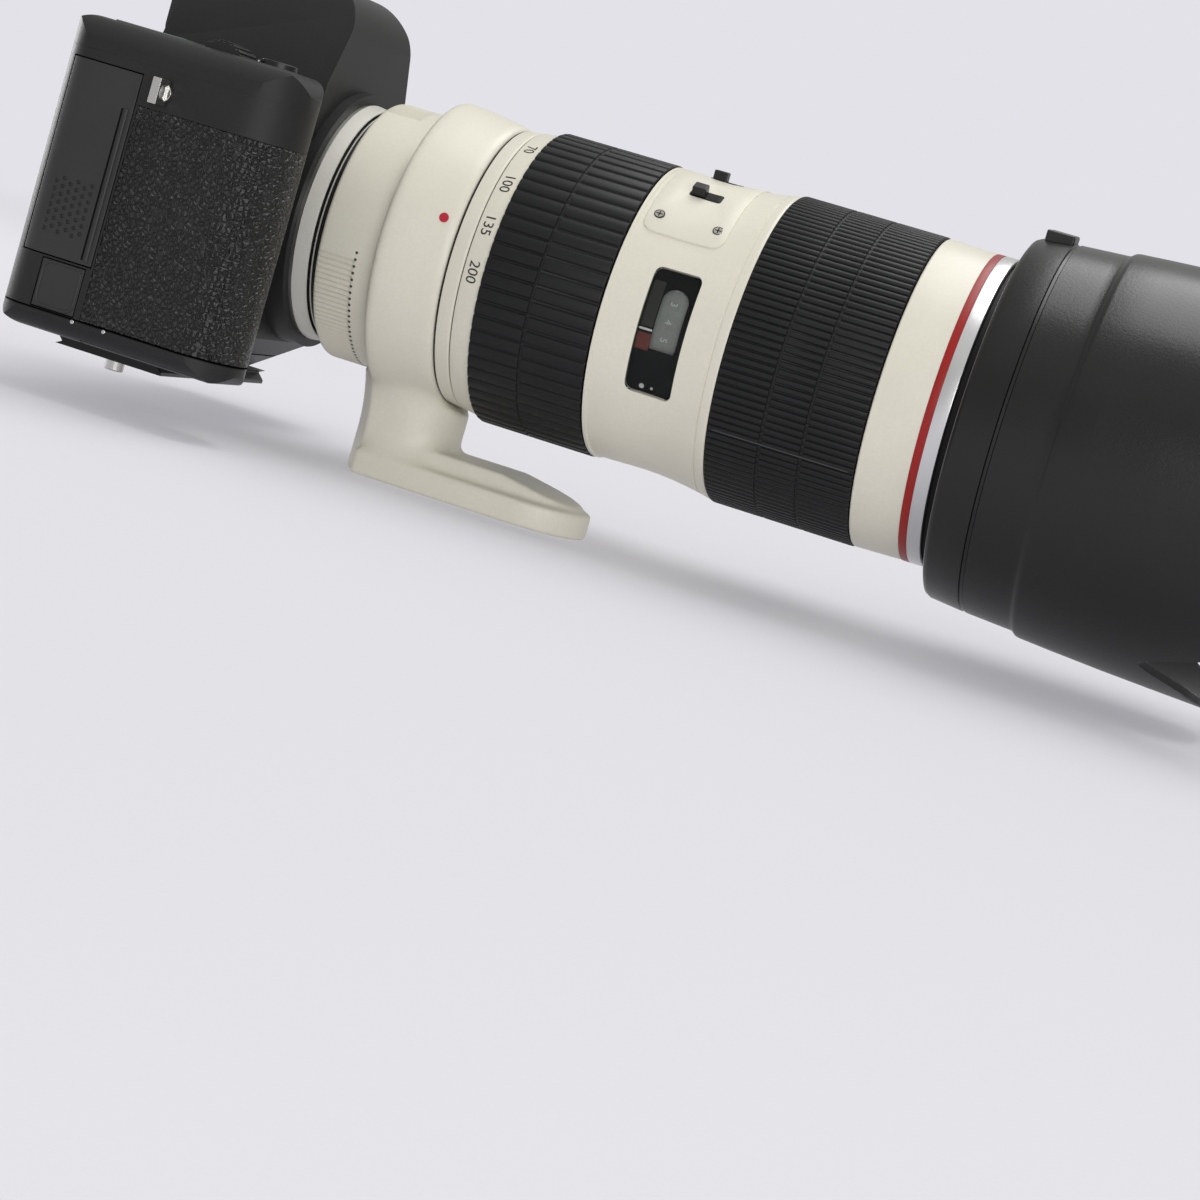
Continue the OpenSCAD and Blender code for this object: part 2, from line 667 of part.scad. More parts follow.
module front_barrel() color(off_white) at_flange() lathe([[white_x, core_r], [white_x, focus_r - 0.6],
  [white_x + 0.4, focus_r - 0.2], [red_x, focus_r - 0.6], [red_x, seat_r], [name_end, seat_r],
  [name_end, bayonet_r], [lens_l, bayonet_r], [lens_l, filter_r], [lens_l - thread_l, filter_r],
  [lens_l - thread_l, glass_r], [core_end, glass_r], [core_end, core_r]]);
module red_ring() color([0.7, 0.1, 0.1]) at_flange()
  lathe([[red_x, seat_r], [red_x, trim_r], [red_x + red_w, trim_r], [red_x + red_w, seat_r]]);
module name_ring() color(steel) at_flange() lathe([[red_x + red_w, seat_r], [red_x + red_w, trim_r],
  [name_end - 0.3, trim_r], [name_end, trim_r - 0.3], [name_end, seat_r]]);
module front_glass() color(glass) at_flange() translate([lens_l - thread_l - 0.4, 0, 0])
  lathe([[-15.2, 0], [-13, 20], [-9.2, glass_r], [-5.2, glass_r], [-3.4, 30], [-1.9, 23], [-0.8, 15],
    [-0.2, 8], [0, 0]]);

// ---- Lens, moving rings and glass ----
module zoom_ring() color(off_white) at_flange() {
  bore = core_r + turn_gap;
  seat = zoom_r - rubber_t;
  lathe([[zoom_x, bore], [zoom_x, 40.7], [zoom_x + scale_w - 0.3, 41.6], [zoom_x + scale_w, 41.4],
    [zoom_x + scale_w, seat], [zoom_end, seat], [zoom_end, bore], [zoom_end - 4, bore],
    [zoom_end - 4, bore + 2], [zoom_x + 4, bore + 2], [zoom_x + 4, bore]]);
}
// Rubber sleeve with chamfered ends and a fine groove round it at each x in cuts.
module sleeve(x0, x1, r, cuts) {
  lathe(concat([[x0, r - rubber_t], [x0, r - 0.4], [x0 + 0.4, r]],
    [for (c = cuts, q = [[-0.5, 0], [-0.3, -0.5], [0.3, -0.5], [0.5, 0]]) [c + q[0], r + q[1]]],
    [[x1 - 0.4, r], [x1, r - 0.4], [x1, r - rubber_t]]));
}
module zoom_rubber() color(black) at_flange()
  sleeve(zoom_x + scale_w, zoom_end, zoom_r, [zoom_x + scale_w + 0.45 * (zoom_w - scale_w)]);
module focus_ring() color(dark) at_flange() {
  bore = core_r + turn_gap;
  seat = focus_r - rubber_t;
  lathe([[focus_x, bore], [focus_x, seat], [focus_end, seat], [focus_end, bore],
    [focus_end - 4.6, bore], [focus_end - 4.6, bore + 3], [focus_x + 5, bore + 3], [focus_x + 5, bore]]);
}
module focus_rubber() color(black) at_flange()
  sleeve(focus_x, focus_end, focus_r, [focus_x + 0.36 * focus_w, focus_x + 0.64 * focus_w]);
module distance_drum() color(black) at_flange() lathe([[drum_x, core_r + turn_gap], [drum_x, drum_r],
  [drum_x + drum_w, drum_r], [drum_x + drum_w, core_r + turn_gap]]);
// A glass group in its cell, which slides in the inner tube: thickness at the middle and at the rim.
module glass_group(x, middle, edge) {
  cell_r = core_r - core_t - turn_gap;
  translate([x, 0, 0]) lathe([[-middle / 2, 0], [-edge / 2, 24], [-edge / 2, cell_r], [edge / 2, cell_r],
    [edge / 2, 24], [middle / 2, 0]]);
}
module focus_group() color(glass) at_flange() glass_group(focus_x + 19, 13, 8);
module zoom_group() color(glass) at_flange() glass_group(zoom_x + 18, 7, 10);

// ---- Switches beside the window ----
module switch_panel() color(off_white) at_flange() difference() {
  panel_zone(panel_high);
  for (a = switch_angles) around(a)
    block([switch_x - push_gap, -46, -1.7 - push_gap],
      [switch_x + switch_w + switch_travel + push_gap, 0.7 - panel_high + 0.8, 1.7 + push_gap]);
  for (a = screw_angles, x = screw_xs) translate([x, 0, 0]) around(a) rod_y(-46, -screw_low, screw_r);
}
module panel_screws() color(steel) at_flange()
  for (a = screw_angles, x = screw_xs) translate([x, 0, 0]) around(a) difference() {
    rod_y(-panel_high, -screw_low, screw_r);
    block([-1.1, -46, -0.2], [1.1, 0.3 - panel_high, 0.2]);
    block([-0.2, -46, -1.1], [0.2, 0.3 - panel_high, 1.1]);
  }
module lens_switch(a) {
  around(a) block([switch_x, -panel_high - 1.5, -1.7], [switch_x + switch_w, 1.3 - panel_high, 1.7]);
}
module lens_switch_a() color(black) at_flange() lens_switch(switch_angles[0]);
module lens_switch_b() color(black) at_flange() lens_switch(switch_angles[1]);

// ---- Tripod collar with its foot ----
// Outline of the foot: straight from x, with a round front end at foot_back + foot_l - set.
module foot_plan(x, w, set) {
  nose = foot_back + foot_l - set - w / 2;
  translate([x, -w / 2]) square([nose - x, w]);
  translate([nose, 0]) circle(w / 2);
}
module from_sole(h) { translate([0, 0, -axis_h]) linear_extrude(h) children(); }
module neck_plan() {
  translate([neck_back, -neck_w / 2]) square([neck_w / 2 - 6, neck_w]);
  translate([neck_back + neck_w / 2 - 6, 0]) circle(neck_w / 2);
}
module foot() {
  from_sole(axis_h - core_r) neck_plan();
  from_sole(foot_base_t) foot_plan(foot_back, foot_w, 0);
  difference() {
    from_sole(foot_t) foot_plan(foot_back + 2.4, foot_top_w, 3);
    slope = foot_back + 43;
    toe = foot_back + foot_l + 2;
    translate([0, 0, foot_t - axis_h]) along_y(-foot_w, foot_w)
      polygon([[slope, 0], [toe, -4.6], [toe, 9], [slope, 9]]);
  }
}
module collar() color(off_white) at_flange() difference() {
  union() {
    translate([collar_x, 0, 0]) lathe([[0, core_r], [0, 42.6], [0.8, 43.2], [collar_w - 0.9, 40.9],
      [collar_w, 40.1], [collar_w, core_r]]);
    foot();
    translate([collar_mid, 0, 0]) rod_y(core_r, boss_end, boss_r);
  }
  rod_x(collar_x - 9, index_end + 9, journal_r + turn_gap);
  rod_x(collar_x + collar_w, index_end + 9, 41.6 + door_gap);
  translate([collar_mid, 0, 0]) rod_y(core_r, boss_end + 2, stem_r + turn_gap);
  translate([socket_x, 0, 0]) rod_z(-axis_h - 1, socket_d - axis_h, socket_r);
  translate([socket_x + socket_step, 0, 0]) rod_z(-axis_h - 1, socket_d - axis_h, big_socket_r);
}
module collar_knob() color(black) at_flange() translate([collar_mid, boss_end + door_gap, 0]) {
  difference() {
    rod_y(0, knob_l, knob_r);
    for (k = [0 : 7]) rotate([0, k * 45, 0]) translate([knob_r + 2, 0, 0]) rod_y(-1, knob_l - 1.5, 3);
  }
  rod_y(-9, 0, stem_r);
}

// ---- Hood ----
// Front edge against the distance across the petals, from the middle of a short petal: the
// short petal, a valley at the picture's corner, then a long petal. Measured back from the tips.
rim = [[0, 15], [8, 15.4], [16, 17.4], [22, 21.5], [26, 27], [29, 32.5], [31.6, 35.5], [34, 33.5],
  [37, 27], [40, 20], [44, 12.5], [48, 7], [52, 3], [56, 0.6], [62, 0]];
hood_tip = hood_x + hood_l;
// Outer radius against the distance from the rear edge, up to the tips.
flare = [[0, 49.5], [1.8, 51.3], [10.8, 52.2], [11.2, 51.7], [11.8, 51.7], [12.2, 52.3], [23.5, 53],
  [26.5, 53.6], [28.5, 54.5], [36.9, 55.1], [51.4, 56], [66, 56.7]];
button_x = 2.5;         // hood lock button, from the rear edge
button_w = 8;
button_h = 10;
module hood() color(dark) at_flange() difference() {
  translate([hood_x, 0, 0]) lathe(concat([[0, bayonet_r + turn_gap]], flare,
    [[hood_l, hood_r], [hood_l, hood_r - hood_t], [66, 56.7 - hood_t], [28.5, 54.5 - hood_t],
     [12, 52 - hood_t], [5, 51 - hood_t], [5, bayonet_r + 3], [5, bayonet_r + turn_gap]]));
  for (s = [-1, 1]) around(lens_turn) linear_extrude(140, center = true)
    polygon(concat([for (q = rim) [hood_tip - q[1] + e, s * q[0]]],
      [[hood_tip + 9, s * 62], [hood_tip + 9, 0]]));
  around(lens_turn + 90) block([hood_x + button_x - push_gap, -60, -button_h / 2 - push_gap],
    [hood_x + button_x + button_w + push_gap, -47, button_h / 2 + push_gap]);
}
module hood_button() color(black) at_flange() around(lens_turn + 90)
  block([hood_x + button_x, -54.2, -button_h / 2], [hood_x + button_x + button_w, -49.6, button_h / 2]);

front_case();
rear_cover();
top_cover();
base_cover();
grip_rubber();
mirror_box();
mount_ring();
shutter_unit();
mirror();
image_sensor();
pentaprism();
eyepiece();
eyecup();
rear_screen();
top_screen();
hot_shoe();
strap_lugs();
battery();
battery_door();
card_door();
cord_cover();
port_cover();
shutter_button();
main_dial();
mode_dial();
power_switch();
top_button();
rear_wheel();
set_button();
joystick();
menu_button();
play_button();
lens_release();
body_plate();
plate_screw();
plate_studs();
lens_mount();
rear_barrel();
core_tube();
collar();
collar_knob();
zoom_ring();
zoom_rubber();
mid_barrel();
window();
distance_drum();
switch_panel();
panel_screws();
lens_switch_a();
lens_switch_b();
focus_ring();
focus_rubber();
front_barrel();
red_ring();
name_ring();
front_glass();
focus_group();
zoom_group();
hood();
hood_button();
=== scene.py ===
import json
import math

import bmesh
import bpy
import numpy as np
from mathutils import Matrix, Vector


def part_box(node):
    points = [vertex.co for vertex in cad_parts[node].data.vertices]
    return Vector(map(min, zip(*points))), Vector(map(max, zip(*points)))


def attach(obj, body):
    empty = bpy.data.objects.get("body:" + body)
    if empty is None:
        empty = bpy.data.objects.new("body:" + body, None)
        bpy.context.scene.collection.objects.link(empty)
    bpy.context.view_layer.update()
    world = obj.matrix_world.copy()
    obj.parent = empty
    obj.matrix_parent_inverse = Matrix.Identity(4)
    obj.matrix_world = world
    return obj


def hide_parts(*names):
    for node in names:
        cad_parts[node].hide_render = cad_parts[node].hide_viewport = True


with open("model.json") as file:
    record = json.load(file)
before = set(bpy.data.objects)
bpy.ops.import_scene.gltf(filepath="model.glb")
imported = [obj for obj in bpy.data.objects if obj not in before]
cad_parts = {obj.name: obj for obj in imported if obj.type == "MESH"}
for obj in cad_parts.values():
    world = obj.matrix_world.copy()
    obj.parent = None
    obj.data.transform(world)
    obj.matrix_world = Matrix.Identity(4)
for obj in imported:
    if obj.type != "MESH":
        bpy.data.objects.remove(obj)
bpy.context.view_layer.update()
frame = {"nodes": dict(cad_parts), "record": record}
scene = bpy.context.scene

# ---- Viewpoint ----
# A 90 mm lens on a 36 mm wide frame, 0.86 m from the lens foot. It looks slightly
# down and back along the barrel, and is itself turned about its own axis.
BEARING = math.radians(-13.834)
DIP = math.radians(-6.841)
TURN = math.radians(16.618)
ahead = Vector((math.sin(BEARING) * math.cos(DIP), math.cos(BEARING) * math.cos(DIP),
                math.sin(DIP)))
level = ahead.cross(Vector((0, 0, 1))).normalized()
upright = level.cross(ahead)
right = level * math.cos(TURN) + upright * math.sin(TURN)
up = upright * math.cos(TURN) - level * math.sin(TURN)
viewpoint = bpy.data.objects.new("viewpoint", bpy.data.cameras.new("viewpoint"))
viewpoint.data.sensor_width = 36
viewpoint.data.lens = 89.954
viewpoint.matrix_world = (Matrix.Translation((0.24551, -0.82265, 0.08721))
                          @ Matrix((right, up, -ahead)).transposed().to_4x4())
scene.collection.objects.link(viewpoint)
scene.camera = viewpoint


# ---- Floor ----
# A wide sheet of pale studio paper, a little blue, that the lens foot stands on.
def linear(colour):
    """sRGB hex to linear RGBA: c/12.92 below 0.04045, else ((c + 0.055)/1.055)^2.4."""
    parts = np.array([int(colour[i:i + 2], 16) / 255 for i in (1, 3, 5)])
    parts = np.where(parts < 0.04045, parts / 12.92, ((parts + 0.055) / 1.055) ** 2.4)
    return (*parts.tolist(), 1.0)


def add_node(material, kind, inputs=None, **settings):
    """Adds one shader node: settings are its properties, inputs its sockets, each a value or
    another node's output."""
    made = material.node_tree.nodes.new("ShaderNode" + kind)
    for name, value in settings.items():
        setattr(made, name, value)
    for name, value in (inputs or {}).items():
        if isinstance(value, bpy.types.NodeSocket):
            material.node_tree.links.new(value, made.inputs[name])
        else:
            made.inputs[name].default_value = value
    return made


def new_finish(name):
    """An empty node material, and the output of its Object coordinates."""
    material = bpy.data.materials.new(name)
    material.use_nodes = True
    material.node_tree.nodes.clear()
    return material, add_node(material, "TexCoord").outputs["Object"]


def noise(material, place, scale, detail=2.0, roughness=0.5):
    """Noise from 0 to 1, with about scale grains in a metre."""
    return add_node(material, "TexNoise", {"Vector": place, "Scale": scale, "Detail": detail,
                                           "Roughness": roughness}).outputs["Fac"]


def computed(material, operation, *values):
    """One step of arithmetic on the values."""
    return add_node(material, "Math", dict(enumerate(values)), operation=operation).outputs["Value"]


def ranged(material, value, low, high, start=0.0, end=1.0, **settings):
    """A number that goes from low to high as value goes from start to end, and stays there beyond."""
    return add_node(material, "MapRange", {"Value": value, "From Min": start, "From Max": end,
                                           "To Min": low, "To Max": high}, **settings).outputs["Result"]


def between(material, share, dark, light):
    """A colour that goes from the dark tone to the light one as share goes from 0 to 1."""
    tones = [linear(tone) if isinstance(tone, str) else tone for tone in (dark, light)]
    return add_node(material, "Mix", {0: share, 6: tones[0], 7: tones[1]}, data_type="RGBA").outputs[2]


def embossed(material, height, relief_mm):
    """The normals of a relief that rises by relief_mm as height goes from 0 to 1."""
    return add_node(material, "Bump", {"Height": height, "Distance": relief_mm / 1000}).outputs["Normal"]


def surfaced(material, inputs):
    """Ends the material in one surface shader with these inputs."""
    shader = add_node(material, "BsdfPrincipled", inputs)
    add_node(material, "OutputMaterial", {"Surface": shader.outputs["BSDF"]})
    return material


def grained(name, light, dark, roughness, grain_mm, relief_mm, metallic=0.0, ior=1.45, coat=0.0,
            sheen=0.0, smears=0.0, painted_shade_seam=None):
    """A moulded or painted finish. Broad noise times fine noise of grain_mm mixes the two tones, and
    the fine noise embosses it. The roughness is off by up to 0.06 with the noise, in which smears is
    the broad noise's share. At the height painted_shade_seam, in metres, a line of painted shade for
    the shadow in a seam is dark and without gloss within 0.3 mm and ends at 0.7."""
    material, place = new_finish(name)
    broad = noise(material, place, 40.0, 4.0)
    fine = noise(material, place, 1000 / grain_mm, 3.0, 0.6)
    tone = ranged(material, computed(material, "MULTIPLY", broad, fine), 0, 1, 0.12, 0.4)
    rubbed = add_node(material, "Mix", {0: smears, 2: fine, 3: broad}).outputs[0]
    dull = ranged(material, rubbed, roughness - 0.06, roughness + 0.06, 0.25 * smears, 1 - 0.25 * smears)
    colour, gloss = between(material, tone, dark, light), 0.5
    # Painted shade: a dark line without gloss along the seam, for its shadow.
    if painted_shade_seam is not None:
        height = add_node(material, "SeparateXYZ", {"Vector": place}).outputs["Z"]
        near = computed(material, "ABSOLUTE", computed(material, "SUBTRACT", height, painted_shade_seam))
        clear = ranged(material, near, 0, 1, 0.0003, 0.0007)
        colour, gloss = between(material, clear, "#030303", colour), ranged(material, clear, 0, 0.5)
    return surfaced(material, {
        "Base Color": colour, "Roughness": dull, "Metallic": metallic, "IOR": ior,
        "Specular IOR Level": gloss, "Coat Weight": coat, "Coat Roughness": 0.25,
        "Sheen Weight": sheen, "Normal": embossed(material, fine, relief_mm)})


FLOOR_HALF = 40.0
floor = bpy.data.objects.new("floor", bpy.data.meshes.new("floor"))
corners = [(x * FLOOR_HALF, y * FLOOR_HALF, 0) for x, y in ((-1, -1), (1, -1), (1, 1), (-1, 1))]
floor.data.from_pydata(corners, [], [(0, 1, 2, 3)])
# Matt paper: even and pale, with almost no gloss. A third of what it shows is an even glow,
# which grows to the whole from half a metre out, so that the sheet passes into the backdrop.
paper, paper_place = new_finish("studio_paper")
fibre = noise(paper, paper_place, 900.0, 3.0)
pale = add_node(paper, "BsdfPrincipled", {"Base Color": between(paper, fibre, "#D8D7DC", "#DDDCE1"),
                                          "Roughness": 0.85, "IOR": 1.3})
glow = add_node(paper, "Emission", {"Color": linear("#E3E2E8"), "Strength": 1.0})
outwards = add_node(paper, "VectorMath", {0: paper_place}, operation="LENGTH").outputs["Value"]
beyond = ranged(paper, outwards, 0.35, 1, 0.45, 1.3, interpolation_type="SMOOTHSTEP")
sheet = add_node(paper, "MixShader", {0: beyond, 1: pale.outputs["BSDF"], 2: glow.outputs[0]})
add_node(paper, "OutputMaterial", {"Surface": sheet.outputs["Shader"]})
floor.data.materials.append(paper)
scene.collection.objects.link(floor)

# ---- Light ----
# A soft box overhead and a little behind, a wide weak one in front, a low fill on the
# right, a strip on the left and a dim neutral room. The wall behind is pale, a little blue.
world = bpy.data.worlds.new("room")
world.use_nodes = True
world.node_tree.nodes.clear()
wall = add_node(world, "Background", {"Color": linear("#E3E2E8")})
dim = add_node(world, "Background", {"Color": linear("#F2F2F0"), "Strength": 0.58})
camera_ray = add_node(world, "LightPath").outputs["Is Camera Ray"]
either = add_node(world, "MixShader", {0: camera_ray, 1: dim.outputs[0], 2: wall.outputs[0]})
add_node(world, "OutputWorld", {"Surface": either.outputs[0]})
scene.world = world
scene.view_settings.view_transform = "Standard"
for name, place, aim, width, height, watts in (
        ("soft_box", (0.12, 0.25, 1.2), (0.1, 0, 0.07), 0.55, 1.25, 8.6),
        ("front_box", (-0.1, -0.75, 1.1), (0.05, 0, 0.05), 1.4, 1.0, 0.8),
        ("front_fill", (0.65, -1.05, 0.25), (0.1, 0, 0.05), 0.9, 0.4, 5.0),
        ("side_strip", (-0.9, 0.3, 0.16), (-0.1, 0, 0.05), 0.5, 0.3, 3.6)):
    lamp = bpy.data.objects.new(name, bpy.data.lights.new(name, "AREA"))
    lamp.data.shape = "RECTANGLE"
    lamp.data.size, lamp.data.size_y, lamp.data.energy = width, height, watts
    lamp.location = place
    lamp.rotation_euler = (Vector(aim) - Vector(place)).to_track_quat("-Z", "Y").to_euler()
    scene.collection.objects.link(lamp)

# ---- Inner frame, mirror, shutter, sensor, prism and battery ----
# What the casings hide: a black moulded mirror box, a silvered mirror, the shutter
# and sensor behind it, and a glass prism above. They show only through the mount.
body_of = {node: body for body, nodes in frame["record"]["behaviour"]["bodies"].items() for node in nodes}


def dress(material, *nodes):
    """These solids keep their shape and take the material."""
    for node in nodes:
        for place in frame["nodes"][node].material_slots:
            place.material = material


def stand_in(piece, node):
    """The piece takes the place, the body and the finish slot of this solid."""
    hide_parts(node)
    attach(piece, body_of[node])


# Glass-filled nylon, moulded and left dull, so that stray light dies in it.
dress(grained("black_nylon", "#1C1C1D", "#131314", 0.7, 0.5, 0.02), "mirror_box", "shutter_unit")
# Front-silvered glass: clear and bright, with a faint warm cast.
dress(grained("silvered_glass", "#D9DAD6", "#CFD1CF", 0.08, 4.0, 0.0, metallic=1.0), "mirror")
# Filter glass over silicon, deep blue-green and glossy.
dress(grained("sensor_glass", "#1E2C33", "#16222A", 0.1, 4.0, 0.0, coat=1.0), "image_sensor")
# Shrink-wrapped cells in grey polycarbonate.
dress(grained("battery_shell", "#3A3A3D", "#333336", 0.45, 0.4, 0.01), "battery")


def clear_glass(name, tint, roughness=0.02):
    """A see-through pane: gloss over a tinted body, with more gloss the flatter it is looked at."""
    material, place = new_finish(name)
    dull = ranged(material, noise(material, place, 60.0), roughness, roughness + 0.03)
    body = add_node(material, "BsdfTransparent", {"Color": linear(tint)}).outputs["BSDF"]
    gloss = add_node(material, "BsdfPrincipled", {"Base Color": linear("#FFFFFF"), "Metallic": 1.0,
                                                  "Roughness": dull}).outputs["BSDF"]
    share = ranged(material, add_node(material, "Fresnel", {"IOR": 1.18}).outputs["Fac"], 0, 1)
    mixed = add_node(material, "MixShader", {0: share, 1: body, 2: gloss})
    add_node(material, "OutputMaterial", {"Surface": mixed.outputs["Shader"]})
    return material


# Polished glass: clear with a pale green edge.
optical_glass = clear_glass("polished_optical_glass", "#E8F0EC")
dress(optical_glass, "pentaprism", "eyepiece", "focus_group", "zoom_group")

# ---- Body casings ----
# Four shells of glass-filled polycarbonate, screwed together. Their outer faces are
# spark-eroded to a fine grain, and each seam has a small rounded edge.


def join(piece, material):
    """Puts a piece into the scene with its material."""
    piece.data.materials.clear()
    piece.data.materials.append(material)
    scene.collection.objects.link(piece)
    return piece


def merged(node, flatten=False):
    """A copy of a solid's mesh with its doubles merged and, if flatten is set, its flat facets joined."""
    mesh = frame["nodes"][node].data.copy()
    if "custom_normal" in mesh.attributes:
        mesh.attributes.remove(mesh.attributes["custom_normal"])
    work = bmesh.new()
    work.from_mesh(mesh)
    bmesh.ops.remove_doubles(work, verts=work.verts, dist=2e-6)
    if flatten:
        bmesh.ops.dissolve_limit(work, angle_limit=math.radians(0.6), verts=work.verts, edges=work.edges)
    work.to_mesh(mesh)
    work.free()
    return mesh


def ease(piece, name, edge_mm, steps, sharpest):
    """Bevels each edge that turns by more than sharpest degrees."""
    bevel = piece.modifiers.new(name, "BEVEL")
    bevel.width = edge_mm / 1000
    bevel.segments = steps
    bevel.limit_method = "ANGLE"
    bevel.angle_limit = math.radians(sharpest)
    bevel.harden_normals = True


def soften(material, node, edge_mm=0.3, steps=2):
    """A copy of a solid with rounded edges."""
    mesh = merged(node, flatten=True)
    mesh.shade_smooth()
    mesh.set_sharp_from_angle(angle=math.radians(32))
    piece = join(bpy.data.objects.new(node + "_finished", mesh), material)
    ease(piece, "rounded_edges", edge_mm, steps, 32)
    stand_in(piece, node)


# Glass-filled polycarbonate, spark-eroded: near black, dull, with a fine even grain.
body_shell = grained("eroded_polycarbonate", "#2A2A2A", "#232323", 0.45, 0.35, 0.03, ior=1.3)
for node in ("front_case", "rear_cover", "top_cover"):
    soften(body_shell, node)
# The same plastic, painted: smoother, with a soft grey gleam, and painted shade where the
# rubber above it ends: a dark line without gloss along the seam.
lower_shell = grained("painted_polycarbonate", "#29292A", "#222223", 0.36, 0.6, 0.012, ior=1.3,
                      painted_shade_seam=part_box("grip_rubber")[0].z)
soften(lower_shell, "base_cover")
soften(lower_shell, "battery_door", 0.2)


# ---- Grip rubber ----
# A skin of pebbled rubber, glued into a shallow recess round the grip.
def pebbled(name, light, dark, pebble_mm, relief_mm):
    """Moulded leather grain: cells of pebble_mm, their borders cut in, with a finer crease over them.
    Its tone runs from dark at the borders to light on the domes: painted shade in the cuts.
    """
    material, place = new_finish(name)
    bend = add_node(material, "TexNoise", {"Vector": place, "Scale": 400 / pebble_mm, "Detail": 2.0})
    shift = add_node(material, "VectorMath", {0: bend.outputs["Color"], "Scale": 0.0008},
                     operation="SCALE").outputs["Vector"]
    bent = add_node(material, "VectorMath", {0: place, 1: shift}, operation="ADD").outputs["Vector"]
    cells = add_node(material, "TexVoronoi", {"Vector": bent, "Scale": 1000 / pebble_mm,
                                              "Randomness": 1.0}, feature="DISTANCE_TO_EDGE")
    dome = ranged(material, cells.outputs["Distance"], 0, 1, 0, 0.3, interpolation_type="SMOOTHSTEP")
    crease = noise(material, place, 2500 / pebble_mm, 3.0)
    height = computed(material, "MULTIPLY_ADD", crease, 0.35, dome)
    # Painted shade: the colour is darker between the pebbles.
    return surfaced(material, {
        "Base Color": between(material, dome, dark, light), "IOR": 1.5,
        "Roughness": ranged(material, crease, 0.2, 0.42), "Normal": embossed(material, height, relief_mm)})


# Synthetic rubber, moulded on an etched tool: black pebbles about 1.5 mm across that
# catch small points of light.
leatherette = pebbled("pebbled_rubber", "#1F1F1F", "#0A0A0A", 1.5, 0.75)
soften(leatherette, "grip_rubber", 0.35)

# ---- Doors and covers ----
# The card door and the cord cover are soft-touch skins over polycarbonate, and the
# cover over the side sockets is one rubber flap.
# Soft-touch rubber paint: black, with a broad soft highlight.
soft_touch = grained("soft_touch_rubber", "#2E2E2E", "#272727", 0.46, 0.5, 0.012)
for node in ("card_door", "cord_cover", "port_cover"):
    soften(soft_touch, node, 0.35)
soften(soft_touch, "eyecup", 0.8, 3)
SIDE_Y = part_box("card_door")[0].y * 1000     # in mm, and the next two in metres
FLANGE_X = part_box("mount_ring")[1].x
AXIS_Z = (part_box("core_tube")[0].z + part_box("core_tube")[1].z) / 2


def shape(name, points, faces, material, outward=True):
    """A mesh piece from points in metres; outward turns the faces of a closed shape to face out."""
    mesh = bpy.data.meshes.new(name)
    mesh.from_pydata(np.reshape(points, (-1, 3)).tolist(), [], faces)
    if outward:
        work = bmesh.new()
        work.from_mesh(mesh)
        bmesh.ops.recalc_face_normals(work, faces=work.faces)
        work.to_mesh(mesh)
        work.free()
    mesh.shade_smooth()
    mesh.set_sharp_from_angle(angle=math.radians(50))
    return join(bpy.data.objects.new(name, mesh), material)


def quads(index, around=True):
    """The four-sided faces between neighbours in a grid of vertex numbers, around its columns or not."""
    if around:
        index = np.concatenate([index, index[..., :1]], -1)
    this, following = index[..., :-1, :], index[..., 1:, :]
    return np.stack([this[..., :-1], following[..., :-1], following[..., 1:], this[..., 1:]], -1)


def skin(name, grid, material, closed=True):
    """Faces between the neighbours in a grid of points (rows, columns, 3). The last column joins the
    first. If closed the last row joins the first, else both rows are capped."""
    index = np.arange(grid[..., 0].size).reshape(grid.shape[:2])
    caps = [] if closed else index[[0, -1]].tolist()
    if closed:
        index = np.vstack([index, index[:1]])
    return shape(name, grid, quads(index).reshape(-1, 4).tolist() + caps, material)


def all_round(count):
    """Count angles, evenly round a circle."""
    return np.linspace(0, 2 * np.pi, count, endpoint=False)


def rounded(half_x, half_s, corner, count=96):
    """A rounded rectangle as (x, s) points evenly apart: four quarter circles joined by lines."""
    turn = np.linspace(0, 2 * np.pi, 721)
    way = np.stack([np.cos(turn), np.sin(turn)], -1)
    path = corner * way + np.sign(np.round(way, 9)) * (half_x - corner, half_s - corner)
    walked = np.concatenate([[0], np.cumsum(np.linalg.norm(np.diff(path, axis=0), axis=1))])
    even = np.linspace(0, walked[-1], count, endpoint=False)
    return np.stack([np.interp(even, walked, path[:, 0]), np.interp(even, walked, path[:, 1])], -1)


def on_side(x, out, z):
    """Points out mm outside the grip side, x mm from the flange and z mm above the optical axis."""
    x, out, z = np.broadcast_arrays(x, out, z)
    return np.stack([FLANGE_X + x / 1000, (SIDE_Y - out) / 1000, AXIS_Z + z / 1000], -1)


def bead(name, path, half_mm, proud_mm, material, around=False):
    """A low bead on the grip side of the body: an arc of five points, across = half_mm cos(a) and
    out = proud_mm sin(a), carried along (x, z) points in mm from the flange and the optical axis."""
    path = np.array(path, float)
    onward = np.roll(path, -1, 0) - np.roll(path, 1, 0) if around else np.gradient(path, axis=0)
    onward /= np.linalg.norm(onward, axis=1)[:, None]
    arc = np.linspace(0, np.pi, 5)
    across = np.concatenate([half_mm * np.cos(arc), [-half_mm, half_mm]])
    out = np.concatenate([proud_mm * np.sin(arc), [-0.3, -0.3]])
    points = on_side(path[:, :1] - onward[:, 1:] * across, out, path[:, 1:] + onward[:, :1] * across)
    return skin(name, points, material, closed=around)


